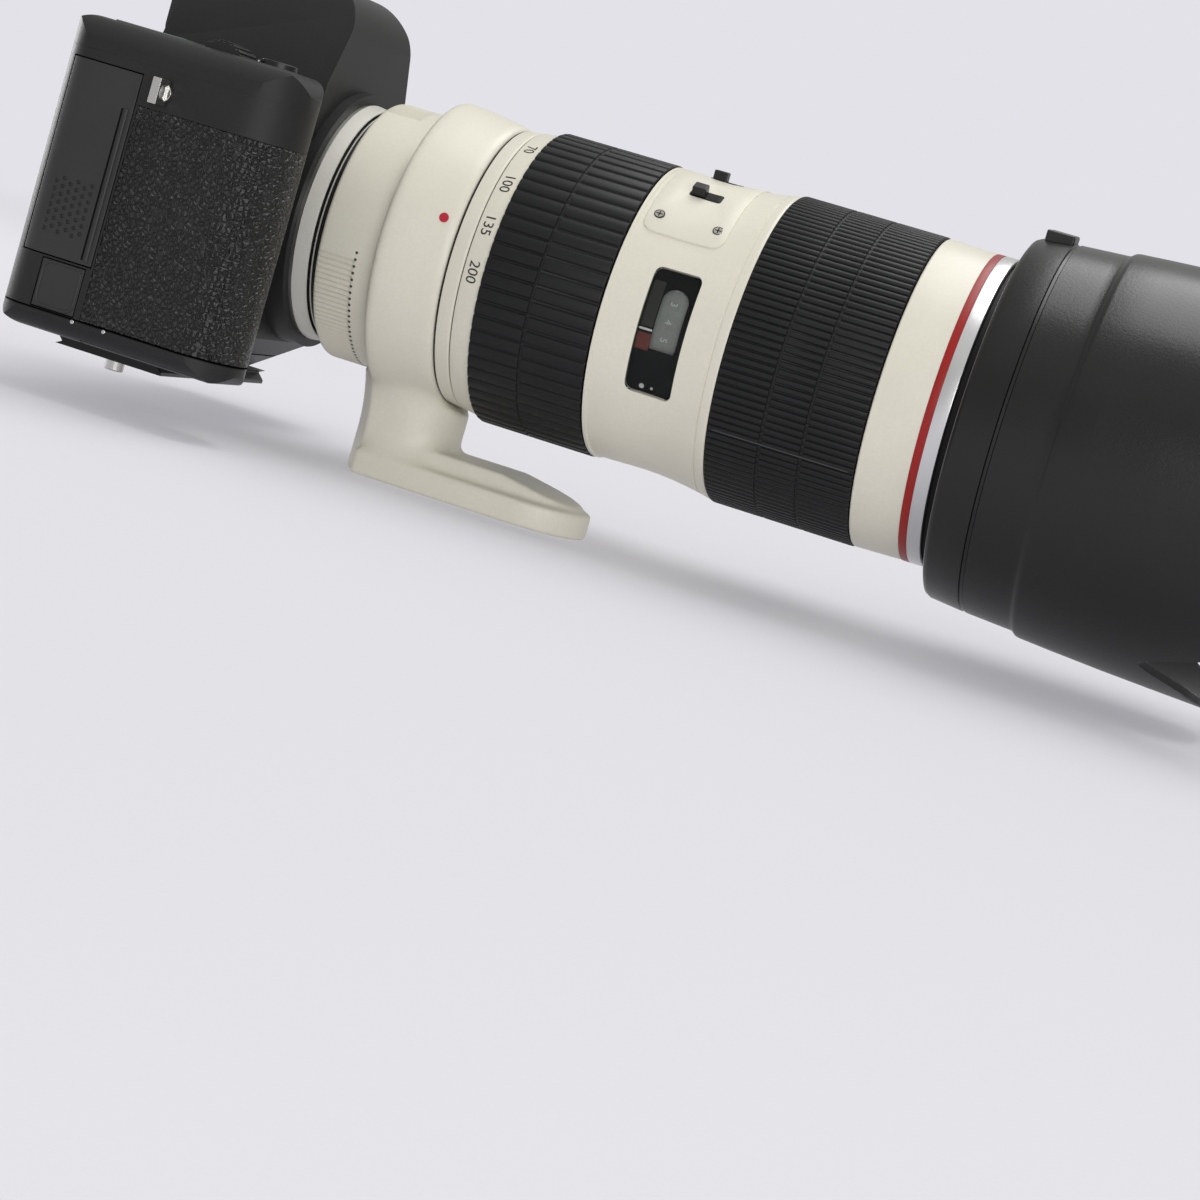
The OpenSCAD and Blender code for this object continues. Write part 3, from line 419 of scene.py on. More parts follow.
def studs(name, x, z, size_mm, proud_mm, material):
    """Low domes on the grip side of the body, at each (x, z) in mm: rings of ten points at 1, 1, 0.7 and
    0.15 of the radius, at heights of -0.2, 0, 0.7 and 1 of proud_mm."""
    x, z = np.ravel(x)[:, None, None], np.ravel(z)[:, None, None]
    spoke = all_round(10)
    share = np.array([1, 1, 0.7, 0.15])[:, None] * size_mm / 2
    rise = np.array([-0.2, 0, 0.7, 1])[:, None] * proud_mm
    points = on_side(x + share * np.cos(spoke), rise, z + share * np.sin(spoke))
    index = np.arange(points[..., 0].size).reshape(points.shape[:3])
    caps = index[:, [0, -1]].reshape(-1, 10)
    return shape(name, points, quads(index).reshape(-1, 4).tolist() + caps.tolist(), material)


# A black strip in the groove beside the rib: painted shade that keeps the groove dark.
painted_groove_shade = grained("groove_painted_shade", "#080808", "#050505", 0.7, 0.3, 0.0, ior=1.2)
# The studs are rubber, darker than the paint round them: painted shade, as small dimples would show.
stud_painted_shade = grained("stud_painted_shade", "#101010", "#0A0A0A", 0.5, 0.3, 0.01)
# A rib along the card door's free edge, a field of studs for the thumb beside it, and a
# lip round the cord cover. Two screws hold the base.
for name, x, half, proud, material in (("door_rib", -37.3, 0.6, 0.55, soft_touch),
                                       ("door_groove_shade", -38.6, 0.3, 0.04, painted_groove_shade)):
    stand_in(bead(name, [(x, -27.8), (x, 0), (x, 14)], half, proud, material), "card_door")
stud_x, stud_z = np.meshgrid(np.arange(6) * 2.1, np.arange(7) * 2.2)
stud_z = stud_z - 22.5 + 1.1 * (np.arange(6) % 2)
stand_in(studs("door_studs", stud_x - 51.6, stud_z, 1.15, 0.28, stud_painted_shade), "card_door")
lip_path = rounded(5.6, 6.0, 2.4, 64) + (-43.1, -36.5)
stand_in(bead("cover_lip", lip_path, 0.4, 0.3, soft_touch, around=True), "cord_cover")

# ---- Screens ----
# The rear screen lies behind hardened glass with a black margin, and the deck screen
# behind acrylic.
# Hardened glass over a black print: black, with a clear sharp gloss.
screen_glass = grained("hardened_glass", "#0B0C0E", "#08090A", 0.12, 8.0, 0.0, coat=1.0)
soften(screen_glass, "rear_screen", 0.35)
# Liquid crystal behind acrylic: grey-green and glossy.
deck_glass = grained("liquid_crystal", "#59605A", "#535A54", 0.14, 6.0, 0.0, coat=1.0)
soften(deck_glass, "top_screen", 0.25)

# ---- Controls ----
# Buttons, dials and wheels, moulded in hard black plastic with a satin face.
# Acetal, moulded: black and satin, with a slightly greasy gleam.
acetal = grained("moulded_acetal", "#181818", "#121212", 0.34, 0.5, 0.006)
for node, edge in (("shutter_button", 0.6), ("main_dial", 0.15), ("mode_dial", 0.2), ("power_switch", 0.3),
                   ("top_button", 0.4), ("rear_wheel", 0.25), ("set_button", 0.4), ("joystick", 0.5),
                   ("menu_button", 0.4), ("play_button", 0.4), ("lens_release", 0.5)):
    soften(acetal, node, edge)

# ---- Metal fittings of the body ----
# Shoe, strap lugs, plate screw and studs are stamped or turned steel.
# Stainless steel, brushed: pale, with a fine grain.
steel = grained("brushed_stainless", "#D2D1CE", "#BDBCB9", 0.26, 0.3, 0.006, metallic=1.0)
for node, edge in (("hot_shoe", 0.15), ("strap_lugs", 0.25), ("plate_screw", 0.2), ("plate_studs", 0.35)):
    soften(steel, node, edge)
stand_in(studs("base_screws", [-36.5, -27], [-44.4, -44.4], 1.1, 0.12, steel), "base_cover")
# Aluminium, milled and anodised black: dark and satin.
black_anodised = grained("black_anodised_aluminium", "#121314", "#0C0D0E", 0.3, 0.25, 0.008, metallic=0.2)
soften(black_anodised, "body_plate", 0.25)

# ---- Lens mount ----
# The body's bayonet ring and the lens's own are turned from brass and chromed satin.


def turned_finish(name, light, dark, roughness, line_mm, relief_mm):
    """Turned metal: noise that changes only along the axis and outwards, so its lines run round."""
    material, place = new_finish(name)
    parts = add_node(material, "SeparateXYZ", {"Vector": place}).outputs
    across = add_node(material, "CombineXYZ", {"X": parts["Y"], "Y": computed(material, "SUBTRACT",
                                                                              parts["Z"], AXIS_Z)})
    outward = add_node(material, "VectorMath", {0: across.outputs["Vector"]}, operation="LENGTH")
    section = add_node(material, "CombineXYZ", {"X": parts["X"], "Y": outward.outputs["Value"]})
    lines = noise(material, section.outputs["Vector"], 1000 / line_mm)
    return surfaced(material, {
        "Base Color": between(material, lines, dark, light), "Metallic": 1.0,
        "Roughness": ranged(material, lines, roughness - 0.07, roughness + 0.07),
        "Normal": embossed(material, lines, relief_mm)})


# Chromed brass: silver, with the lathe's lines still in it.
chromed_brass = turned_finish("satin_chromed_brass", "#C9C8C4", "#B0AFAB", 0.34, 0.12, 0.004)
soften(chromed_brass, "mount_ring", 0.2)
soften(chromed_brass, "lens_mount", 0.15)


# ---- Rear barrel ----
# A magnesium casting, painted off-white. Behind the collar it has a band of fine
# flutes for the hand that turns the lens in its mount, with a row of pits beside it.
def on_axis(x, r, angle):
    """Points x mm from the flange and r mm from the axis, at an angle that is 0 towards -Y and 90 up."""
    x, r, angle = np.broadcast_arrays(x, r, angle)
    return np.stack([FLANGE_X + x / 1000, -r * np.cos(angle) / 1000, AXIS_Z + r * np.sin(angle) / 1000], -1)


def eased(outline, radius_mm, steps=4):
    """Rounds a closed outline: each corner P becomes (1-t)^2 A + 2t(1-t) P + t^2 C, with A and C on its
    two edges, radius_mm off."""
    corner = np.array(outline, float)
    t = np.linspace(0, 1, steps)[None, :, None]
    ends = []
    for way in (1, -1):
        edge = np.roll(corner, way, 0) - corner
        ends.append(corner + edge * np.minimum(radius_mm / np.linalg.norm(edge, axis=1), 0.45)[:, None])
    curve = (1 - t) ** 2 * ends[0][:, None] + 2 * t * (1 - t) * corner[:, None] + t ** 2 * ends[1][:, None]
    return curve.reshape(-1, 2)


def turned(name, outline, material, edge_mm=0.25):
    """An outline of (x, r) in mm with eased corners, carried round the optical axis."""
    path = eased(outline, edge_mm)
    return skin(name, on_axis(path[:, :1], path[:, 1:], all_round(240)), material)


def hoop(name, start, end, low, high, material, edge_mm=0.25):
    """A plain ring between two distances from the flange and two radii."""
    return turned(name, [(start, low), (start, high), (end, high), (end, low)], material, edge_mm)


def reach(node):
    """How far a turned solid reaches: its rear and front, in mm from the flange, and its radius."""
    low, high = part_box(node)
    return (low.x - FLANGE_X) * 1000, (high.x - FLANGE_X) * 1000, (high.y - low.y) * 500


# Magnesium under baked enamel: warm off-white, satin, with a faint orange peel.
enamel = grained("off_white_enamel", "#DFDBCC", "#D8D4C5", 0.4, 0.9, 0.005, coat=0.1)
rear_x, index_end, index_r = reach("rear_barrel")
# The lens's rear flange is painted light grey, and a black lip of rubber seals the gap
# in front of it.
flange_grey = grained("light_grey_enamel", "#DAD8CF", "#D0CEC5", 0.42, 0.7, 0.006)
lip_rubber = grained("sealing_rubber", "#161616", "#0E0E0E", 0.5, 0.4, 0.01)
lip_end = rear_x + 0.4
for piece in (turned("rear_flange", [(0.1, 33), (0.1, 34.95), (4.15, 34.35), (4.45, 34.05), (4.45, 33)],
                     flange_grey, 0.12),
              turned("sealing_lip", [(4.4, 32), (4.4, 33.05), (5.3, 33.05), (5.6, 33.5), (6.3, 33.5),
                                     (6.7, 33.05), (lip_end, 33.05), (lip_end, 32)], lip_rubber, 0.12),
              hoop("seal_ring", 5.25, 5.6, 32, 33.75, flange_grey, 0.08)):
    stand_in(piece, "lens_mount")
JOURNAL_R = 37.7                        # what the collar turns on
RING_REAR, RING_FRONT = 28.8, 46.5      # the collar's ring, from the flange
FLUTES = 150
FLUTE_DEPTH = 0.6
BARE = (math.radians(-12), math.radians(64))    # no flutes between these angles
# Rows of the band: distance from its rear edge, depth under the journal, and share of the
# flutes' depth. The second table's distances are from the collar's ring.
BAND_REAR = np.array([(0, 0.8, 0), (0.1, 0.55, 0.3), (0.4, 0.2, 0.7), (0.7, 0.05, 1), (1, 0, 1), (2, 0, 1),
                      (10.4, 0, 1), (11, 0, 0.8), (11.2, 0, 0.2), (11.5, 0, 0), (12, 0, 0)])
BAND_FRONT = np.array([(-4.6, 0, 0), (-4, 0.25, 0), (-3.5, 0.9, 0), (-3.1, 1.3, 0), (1, 1.3, 0)])
row, drop, deep = np.vstack([BAND_REAR + (rear_x, 0, 0), BAND_FRONT + (RING_REAR, 0, 0)]).T
column = np.linspace(-np.pi, np.pi, FLUTES * 6, endpoint=False)
from_bare = np.abs(column - sum(BARE) / 2) - (BARE[1] - BARE[0]) / 2
flute = (0.5 - 0.5 * np.cos(FLUTES * column)) / (1 + np.exp(-np.clip(from_bare * 300, -40, 40)))
radius = JOURNAL_R - drop[:, None] - FLUTE_DEPTH * deep[:, None] * flute[None, :]
inner = np.full((1, len(column)), JOURNAL_R - 7.5)
stand_in(skin("fluted_band", on_axis(np.pad(row, 1, "edge")[:, None], np.vstack([inner, radius, inner]),
                                     column), enamel), "rear_barrel")
band_end, index_x = RING_REAR + 0.9, RING_FRONT + 0.5
stand_in(turned("index_band", [
    (band_end, JOURNAL_R - 5), (band_end, JOURNAL_R), (index_x, JOURNAL_R), (index_x, index_r - 0.5),
    (index_end - 0.4, index_r - 0.05), (index_end, index_r - 0.35), (index_end, JOURNAL_R - 5)],
    enamel, 0.15), "rear_barrel")
# Dark brown, dull rings sunk in the two joints beside the band: painted shade that keeps the gaps dark.
joint_painted_shade = grained("painted_joint_shade", "#2A2622", "#1A1815", 0.95, 0.2, 0.05)
for name, x, r in (("collar_joint_shade", RING_FRONT, index_r - 0.75),
                   ("zoom_joint_shade", index_end - 0.05, index_r - 0.45)):
    stand_in(hoop(name, x, x + 0.5, r - 2, r, joint_painted_shade, 0.05), "rear_barrel")


def dots(name, x, angle, r, size_mm, material, proud_mm=0.03, sides=12):
    """Round marks: at each (x, angle) a disc of size_mm across that stands proud_mm above radius r."""
    x, angle = np.broadcast_arrays(np.atleast_1d(x), np.atleast_1d(angle))
    size_mm = np.broadcast_to(size_mm, x.shape)[:, None]
    rim_x = x[:, None] + size_mm / 2 * np.cos(all_round(sides))
    rim_angle = angle[:, None] + size_mm / 2 * np.sin(all_round(sides)) / r
    points = np.concatenate([on_axis(rim_x, r + rise, rim_angle) for rise in (proud_mm, -0.3)], 1)
    ring = np.arange(sides)
    after = np.roll(ring, -1)
    first = (np.arange(len(x)) * 2 * sides)[:, None]
    walls = first[:, :, None] + np.stack([ring, after, after + sides, ring + sides], -1)
    caps = np.concatenate([first + ring, first + ring + sides])
    return shape(name, points, walls.reshape(-1, 4).tolist() + caps.tolist(), material)


# Discs the colour of dry moss on the pits: painted shade in them.
pit_painted_shade = grained("pit_painted_shade", "#4B463F", "#3A362F", 0.6, 0.4, 0.0)
PITS = np.radians(np.arange(-150, -8, 3.0))
stand_in(dots("index_pits", rear_x + 11.5, PITS, JOURNAL_R, 0.85, pit_painted_shade), "rear_barrel")
# Aluminium, anodised matt black inside the lens so that stray light dies there.
matt_anodised = grained("matt_black_anodised", "#161617", "#101011", 0.6, 0.3, 0.01, metallic=0.3)
dress(matt_anodised, "core_tube", "focus_ring", "distance_drum")


# ---- Tripod collar and foot ----
# One magnesium casting: the ring that the barrel turns in, a neck, and a long foot.
# The mould gave it wide fillets and the enamel softens every edge further.
def points_of(mesh):
    """The vertices of a mesh as an array of (x, y, z)."""
    flat = np.empty(len(mesh.vertices) * 3)
    mesh.vertices.foreach_get("co", flat)
    return flat.reshape(-1, 3)


def move_points(mesh, points):
    """Puts the vertices of a mesh at these points."""
    mesh.vertices.foreach_set("co", points.ravel())
    mesh.update()


BORE_R = 0.0402             # inside this radius from the optical axis the casting stays as machined, in m
SOCKETS = (0.012, 0.02)     # so do the sockets in the sole: out to this radius, up to this height
CORNER_PASSES = 9


def cast(node, material, cell_mm, passes, spread):
    """A copy of a solid as a casting: rebuilt in cells of cell_mm, then smoothed passes times. A vertex
    p goes to p + w (mean of its neighbours - p): w is 0.5 where the surface is hollow, so that inner
    corners fill up, and 0.02 where it is round, after three passes at 0.5 for all. Along the low front
    of the foot only CORNER_PASSES fill the corners, which keeps the crease there. The bore and the
    sockets stay as they are. The ring's rear edge then moves back by spread metres."""
    rough = bpy.data.objects.new(node + "_cells", merged(node))
    scene.collection.objects.link(rough)
    rebuilt = rough.modifiers.new("cells", "REMESH")
    rebuilt.mode = "VOXEL"
    rebuilt.voxel_size = cell_mm / 1000
    evaluated = bpy.context.evaluated_depsgraph_get()
    evaluated.update()
    mesh = bpy.data.meshes.new_from_object(rough.evaluated_get(evaluated))
    bpy.data.objects.remove(rough)
    point, count = points_of(mesh), len(mesh.vertices)
    ends = np.empty(len(mesh.edges) * 2, int)
    mesh.edges.foreach_get("vertices", ends)
    ends = ends.reshape(-1, 2)
    start, end = np.concatenate([ends, ends[:, ::-1]]).T
    valence = np.maximum(np.bincount(start, minlength=count), 1)[:, None]
    x, y, z = point.T
    machined = (np.hypot(y, z - AXIS_Z) < BORE_R) | ((np.hypot(x, y) < SOCKETS[0]) & (z < SOCKETS[1]))
    crisp = np.clip((x - FLANGE_X - 0.047) / 0.005, 0, 1) * np.clip((0.0165 - z) / 0.003, 0, 1)
    limit = passes + (CORNER_PASSES - passes) * crisp
    normal = np.empty(count * 3)
    for step in range(passes):
        mean = np.stack([np.bincount(start, point[end, k], count) for k in range(3)], -1) / valence
        if step % 10 == 0:
            move_points(mesh, point)
            mesh.vertex_normals.foreach_get("vector", normal)
        hollow = np.einsum("ij,ij->i", mean - point, normal.reshape(-1, 3)) > 0
        weight = np.where(hollow & (step < limit) | (step < 3), 0.5, 0.02) * ~machined
        point = point + weight[:, None] * (mean - point)
    behind = np.clip((FLANGE_X + RING_REAR / 1000 + 0.005 - point[:, 0]) / 0.005, 0, 1)
    point[:, 0] -= spread * behind * (np.clip((point[:, 2] - AXIS_Z + 0.055) / 0.017, 0, 1) ** 2)
    move_points(mesh, point)
    mesh.shade_smooth()
    piece = join(bpy.data.objects.new(node + "_casting", mesh), material)
    stand_in(piece, node)
    return piece


casting = cast("collar", enamel, 0.7, 160, 0.0025)
# Enamel of the index mark: bright signal red. It lies on the casting as smoothed.
index_red = grained("index_red_enamel", "#C2203A", "#B01C33", 0.35, 0.6, 0.0)
DOT_X, DOT_DEGREES = 42.0, 14.5
ring_x, ring_y, ring_z = (points_of(casting.data) * 1000 - (FLANGE_X * 1000, 0, AXIS_Z * 1000)).T
near = (np.abs(ring_x - DOT_X) < 1.2) & (np.abs(np.degrees(np.arctan2(ring_z, -ring_y)) - DOT_DEGREES) < 2)
DOT_R = np.hypot(ring_y, ring_z)[near].max()
stand_in(dots("collar_dot", DOT_X, math.radians(DOT_DEGREES), DOT_R, 2.7, index_red, 0.05, 32), "collar")
soften(acetal, "collar_knob", 0.5, 3)

# ---- Zoom ring ----
# An enamelled band with the focal lengths printed on it, and a rubber sleeve of broad
# flat ribs. A fine cut goes round the sleeve across the ribs.


def lettering(kind, words, height_mm, x, angle, r, material, slope=0.0):
    """Printed figures: the font's outlines, bent onto radius r by angle = middle - u/r, with their tops
    forward. Slope is what the radius gains for each mm forward."""
    name = kind + words
    curve = bpy.data.curves.new(name, "FONT")
    curve.body = words
    curve.align_x = curve.align_y = "CENTER"
    curve.extrude = 0.01
    holder = bpy.data.objects.new(name, curve)
    mesh = bpy.data.meshes.new_from_object(holder)
    bpy.data.objects.remove(holder)
    across, along, out = points_of(mesh).T
    scale = height_mm / (along.max() - along.min())
    forward = (along - (along.max() + along.min()) / 2) * scale
    move_points(mesh, on_axis(x + forward, r + slope * forward + 0.03 + out * 2,
                              angle - across * scale / r))
    return join(bpy.data.objects.new(name, mesh), material)


def ribbed(name, node, ribs, section, depth_mm, cuts, material):
    """A rubber sleeve. Section holds pairs, share of a rib's pitch and share of depth_mm, round it. At each
    of the cuts, which are shares of its length, the ribs stop for a short way."""
    start, end, r = reach(node)
    share, drop = np.array(section).T
    angle = ((np.arange(ribs)[:, None] + share) * 2 * np.pi / ribs).ravel()
    fall = np.tile(drop, ribs) * depth_mm
    eased_end = ((0, 0.5, 0.6), (0.15, 0.2, 0.85), (0.45, 0, 1))
    along = list(eased_end)     # distance, sunk share of depth_mm, share of the ribs' height
    for cut in cuts:
        middle = (end - start) * cut
        along += [(middle + off, sink, keep) for off, sink, keep in (
            (-0.5, 0, 1), (-0.34, 0.6, 0.2), (0.34, 0.6, 0.2), (0.5, 0, 1))]
    along += [(end - start - off, sink, keep) for off, sink, keep in reversed(eased_end)]
    x, sink, keep = np.array(along).T
    radius = r - depth_mm * sink[:, None] - keep[:, None] * fall[None, :]
    inner = np.full((1, len(angle)), r - 1.9)
    stand_in(skin(name, on_axis(start + np.pad(x, 1, "edge")[:, None], np.vstack([inner, radius, inner]),
                                angle), material), node)


zoom_start, zoom_end, _ = reach("zoom_ring")
scale_end = reach("zoom_rubber")[0]
SEAT_R = 40.5
stand_in(turned("zoom_band", [
    (zoom_start, SEAT_R - 2), (zoom_start, SEAT_R + 0.2), (scale_end - 0.3, SEAT_R + 1.1),
    (scale_end, SEAT_R + 0.9), (scale_end, SEAT_R), (zoom_end, SEAT_R), (zoom_end, SEAT_R - 2)],
    enamel), "zoom_ring")
# Screen-printing ink: dark grey and dull.
dark_ink = grained("dark_printing_ink", "#2E2E2E", "#222222", 0.6, 0.3, 0.0)
for figures, angle in (("200", -2.1), ("135", 16.8), ("100", 36.0), ("70", 58.0)):
    stand_in(lettering("focal_", figures, 3.0, zoom_start + 2.9, math.radians(angle), SEAT_R + 0.66,
                       dark_ink, slope=0.153), "zoom_ring")
# Natural rubber, moulded on a blasted tool: black and dull.
ring_rubber = grained("moulded_ring_rubber", "#141516", "#0D0E0F", 0.5, 0.35, 0.02, ior=1.38)
ZOOM_RIBS = 64
BROAD_RIB = ((0, 1), (0.07, 1), (0.13, 0.25), (0.2, 0), (0.5, 0), (0.8, 0), (0.87, 0.25), (0.93, 1))
ribbed("zoom_ribs", "zoom_rubber", ZOOM_RIBS, BROAD_RIB, 0.55, [0.45], ring_rubber)


# ---- Middle barrel ----
# A fixed enamelled sleeve that flares towards the front. A window with rounded
# corners is cut through it on the side, over the distance scale.
def plate(name, x, angle, half_x, half_s, corner, low, high, material, edge_mm=0.2,
          profile=((0, 0), (1, 0))):
    """A rounded plate bent round the axis, from radius low to high: loops of its outline go from the middle
    of the underside out, up round an eased edge and back in. It rises and falls with the profile."""
    eased_mm = 0.3 * edge_mm
    steps = ((0, 0.03, low), (0, 0.5, low), (0, 1, low), (0, 1, high - edge_mm),
             (eased_mm, 1, high - eased_mm), (edge_mm, 1, high), (edge_mm, 0.66, high),
             (edge_mm, 0.33, high), (edge_mm, 0.03, high))     # inset, share of the outline, radius
    loops = np.array([share * rounded(half_x - inset, half_s - inset, max(corner - inset, 0.05))
                      for inset, share, _ in steps])
    rise = [np.interp(place, *np.array(profile).T) for place in (x + loops[..., 0], x)]
    radii = np.array(steps)[:, 2:] + rise[0] - rise[1]
    points = on_axis(x + loops[..., 0], radii, angle + loops[..., 1] / high)
    return skin(name, points, material, closed=False)


def windowed(name, profile, angles, middle, half_x, half_s, corner, deep_mm, material):
    """A shell round the axis with a rounded window: a grid of profile rows and angle columns with a gap,
    which loops fill by (1 - t) edge + t window, from its edge to the window's. Then it gets a wall."""
    x = np.linspace(profile[0][0], profile[-1][0], 40)
    x = np.unique(np.concatenate([x, [place for place, _ in profile]]))

    def r_at(place):
        return np.interp(place, *np.array(profile).T)

    grid_x, grid_angle = np.meshgrid(x, angles, indexing="ij")
    index = np.arange(grid_x.size).reshape(grid_x.shape)
    scale = r_at(middle[0])
    rows = np.flatnonzero(np.abs(x - middle[0]) < half_x + 2.5)
    columns = np.flatnonzero(np.abs(angles - middle[1]) * scale < half_s + 2.5)
    top, bottom, first, last = rows[0], rows[-1], columns[0], columns[-1]
    faces = quads(index, around=angles[-1] - angles[0] > 6)
    keep = np.ones(faces.shape[:2], bool)
    keep[top:bottom, first:last] = False
    edge = np.concatenate([index[top, first:last], index[top:bottom, last],
                           index[bottom, last:first:-1], index[bottom:top:-1, first]])
    edge_x, edge_s = grid_x.ravel()[edge] - middle[0], (grid_angle.ravel()[edge] - middle[1]) * scale
    outline = rounded(half_x, half_s, corner, 720)
    bearing = np.arctan2(outline[:, 1], outline[:, 0])
    target = [np.interp(np.arctan2(edge_s, edge_x), bearing, part, period=2 * np.pi) for part in outline.T]
    t = np.linspace(0, 1, 7)[1:, None]
    loop_x = middle[0] + (1 - t) * edge_x + t * target[0]
    loop_angle = middle[1] + ((1 - t) * edge_s + t * target[1]) / scale
    points = np.concatenate([on_axis(grid_x, r_at(grid_x), grid_angle).reshape(-1, 3),
                             on_axis(loop_x, r_at(loop_x), loop_angle).reshape(-1, 3)])
    loops = np.vstack([edge, grid_x.size + np.arange(t.size * len(edge)).reshape(t.size, -1)])
    used, faces = np.unique(np.concatenate([faces[keep], quads(loops).reshape(-1, 4)]), return_inverse=True)
    piece = shape(name, points[used], faces.reshape(-1, 4).tolist(), material, outward=False)
    wall = piece.modifiers.new("wall", "SOLIDIFY")
    wall.thickness = deep_mm / 1000
    wall.offset = -1
    ease(piece, "eased_rim", 0.2, 2, 60)
    return piece


mid_start, mid_end, _ = reach("mid_barrel")
LENS_TURN = math.radians(-3.8)
WINDOW = (mid_start + 18.05, LENS_TURN)
# The sleeve's radius against the distance from its rear edge.
MID_FLARE = np.array([(0, 41.6), (0.3, 42.3), (1.1, 42.3), (1.5, 41.8), (1.9, 41.8), (5, 41.78),
                      (11, 41.62), (16, 41.55), (20, 41.68), (24, 42.0), (28, 42.5), (31.5, 43.05),
                      (33.3, 43.35), (33.5, 43.1), (33.8, 43.1), (34, 43.5), (36.1, 43.95)])
MID_PROFILE = np.vstack([MID_FLARE + (mid_start, 0), (mid_end, 43.75)])
stand_in(windowed("middle_sleeve", MID_PROFILE, np.radians(np.arange(-180, 180, 1.5) + 0.6), WINDOW,
                  6.8, 17.9, 2.2, 1.5, enamel), "mid_barrel")

# ---- Distance window ----
# A clear pane, flush with the barrel. Behind it a black mask leaves a slot over the
# turning scale, and a white line on the mask is what the scale is read against.
# Acrylic, moulded: clear, with a hard gloss.
acrylic = clear_glass("moulded_acrylic", "#EEF0F0", 0.03)
PANE_R = 41.35
stand_in(plate("window_pane", *WINDOW, 6.75, 17.8, 2.15, PANE_R - 0.8, PANE_R, acrylic, 0.15), "window")
# Black paint under the pane: deep and smooth. The same black is painted shade in the panel's
# slots, round the screw heads and in their slots.
black_paint_and_shade = grained("mask_black_paint_and_painted_shade", "#0A0A0A", "#060606", 0.5, 0.6, 0.0, ior=1.25)
MASK_R = 39.9
mask_rows = [(WINDOW[0] - 8, MASK_R), (WINDOW[0] + 8, MASK_R)]
mask_turn = LENS_TURN + np.radians(np.linspace(-29, 29, 59))
slot_middle = (WINDOW[0] + 1.0, LENS_TURN + 2.9 / MASK_R)
stand_in(windowed("scale_mask", mask_rows, mask_turn, slot_middle, 3.7, 9.7, 3.5, 0.5, black_paint_and_shade),
         "window")
# Inks on the mask: white for the reading line and rust for the heat-shift mark. The olive patch
# beside the scale is a painted reflection in the pane.
white_ink = grained("white_printing_ink", "#F2F0EA", "#E4E2DC", 0.5, 0.3, 0.0)
rust_ink = grained("rust_printing_ink", "#84392F", "#5E2A24", 0.5, 0.8, 0.0)
pane_painted_reflection = grained("olive_painted_reflection", "#3A382F", "#2C2A24", 0.5, 0.8, 0.0)
for name, x, s_mm, half_x, half_s, proud, ink in (
        ("mask_foot", 0.0, -11.2, 6.6, 6.5, 0.02, black_paint_and_shade),
        ("painted_reflection_patch", -4.7, 7.3, 1.7, 6.4, 0.02, pane_painted_reflection),
        ("heat_mark", -4.6, -3.2, 2.0, 2.3, 0.04, rust_ink),
        ("reading_line", -4.7, 0.1, 1.9, 0.3, 0.06, white_ink)):
    stand_in(plate(name, WINDOW[0] + x, LENS_TURN + s_mm / MASK_R, half_x, half_s, 0.25, MASK_R - 0.1,
                   MASK_R + proud, ink, 0.02), "window")
stand_in(dots("depth_marks", WINDOW[0] + np.array([-2.3, 0.6]), LENS_TURN - 15.6 / MASK_R, MASK_R,
              [1.5, 0.8], white_ink, 0.07, 8), "window")
# The scale: grey paint with pale figures.
scale_paint = grained("grey_scale_paint", "#A3A39D", "#8B8B85", 0.4, 0.6, 0.0)
pale_ink = grained("pale_printing_ink", "#DCDCDA", "#C6C6C4", 0.5, 0.3, 0.0)
drum_start, drum_end, drum_r = reach("distance_drum")
stand_in(hoop("scale_drum", drum_start, drum_end, drum_r - 1.2, drum_r, scale_paint), "distance_drum")
for step, figures in enumerate(("1.2", "1.5", "2", "2.5", "3", "4", "5", "7", "10", "20")):
    stand_in(lettering("distance_", figures, 1.9, WINDOW[0] + 0.6, LENS_TURN + math.radians(42 - 7.4 * step),
                       drum_r, pale_ink), "distance_drum")

# ---- Switch panel ----
# A raised enamelled plate with rounded corners, held by four countersunk screws. Two
# slots in it hold small black slide switches.
panel_start, panel_end, _ = reach("switch_panel")
PANEL_R = 42.05
panel_middle = (panel_start + panel_end) / 2
stand_in(plate("panel_plate", panel_middle, math.radians(72.5), (panel_end - panel_start) / 2,
               PANEL_R * math.radians(39.4), 3.4, PANEL_R - 1.5, PANEL_R, enamel, 0.25, MID_PROFILE),
         "switch_panel")
# The slots are black plates: painted shade where the openings are.
for tag, angle in (("a", 60), ("b", 86)):
    stand_in(plate("slot_" + tag, panel_middle, math.radians(angle), 4.6, 2.1, 0.8, PANEL_R - 1,
                   PANEL_R + 0.02, black_paint_and_shade, 0.02, MID_PROFILE), "switch_panel")
    soften(acetal, "lens_switch_" + tag, 0.35)
screw_x, screw_angle = (part.ravel() for part in np.meshgrid([panel_start + 3.2, panel_end - 3.4],
                                                              np.radians([41.7, 103.3])))
# Nickel-plated steel, left dull: a warm grey close to the enamel round it.
nickel = grained("dull_nickel_plate", "#A5A298", "#8F8C83", 0.45, 0.3, 0.01, metallic=0.3)
SCREW_R = PANEL_R + 0.17
# A black disc under each head leaves a dark ring round it, painted shade in the countersink; black bars
# across the heads are painted shade in their slots.
stand_in(dots("screw_sinks", screw_x, screw_angle, SCREW_R, 3.0, black_paint_and_shade, 0.0, 32), "panel_screws")
stand_in(dots("screw_heads", screw_x, screw_angle, SCREW_R, 2.5, nickel, 0.03, 32), "panel_screws")
for tag, wide, long in (("across", 0.95, 0.16), ("along", 0.16, 0.95)):
    for number, (x, angle) in enumerate(zip(screw_x, screw_angle)):
        stand_in(plate(f"screw_slot_{tag}_{number}", x, angle, wide, long, 0.05, SCREW_R - 0.1,
                       SCREW_R + 0.05, black_paint_and_shade, 0.01), "panel_screws")

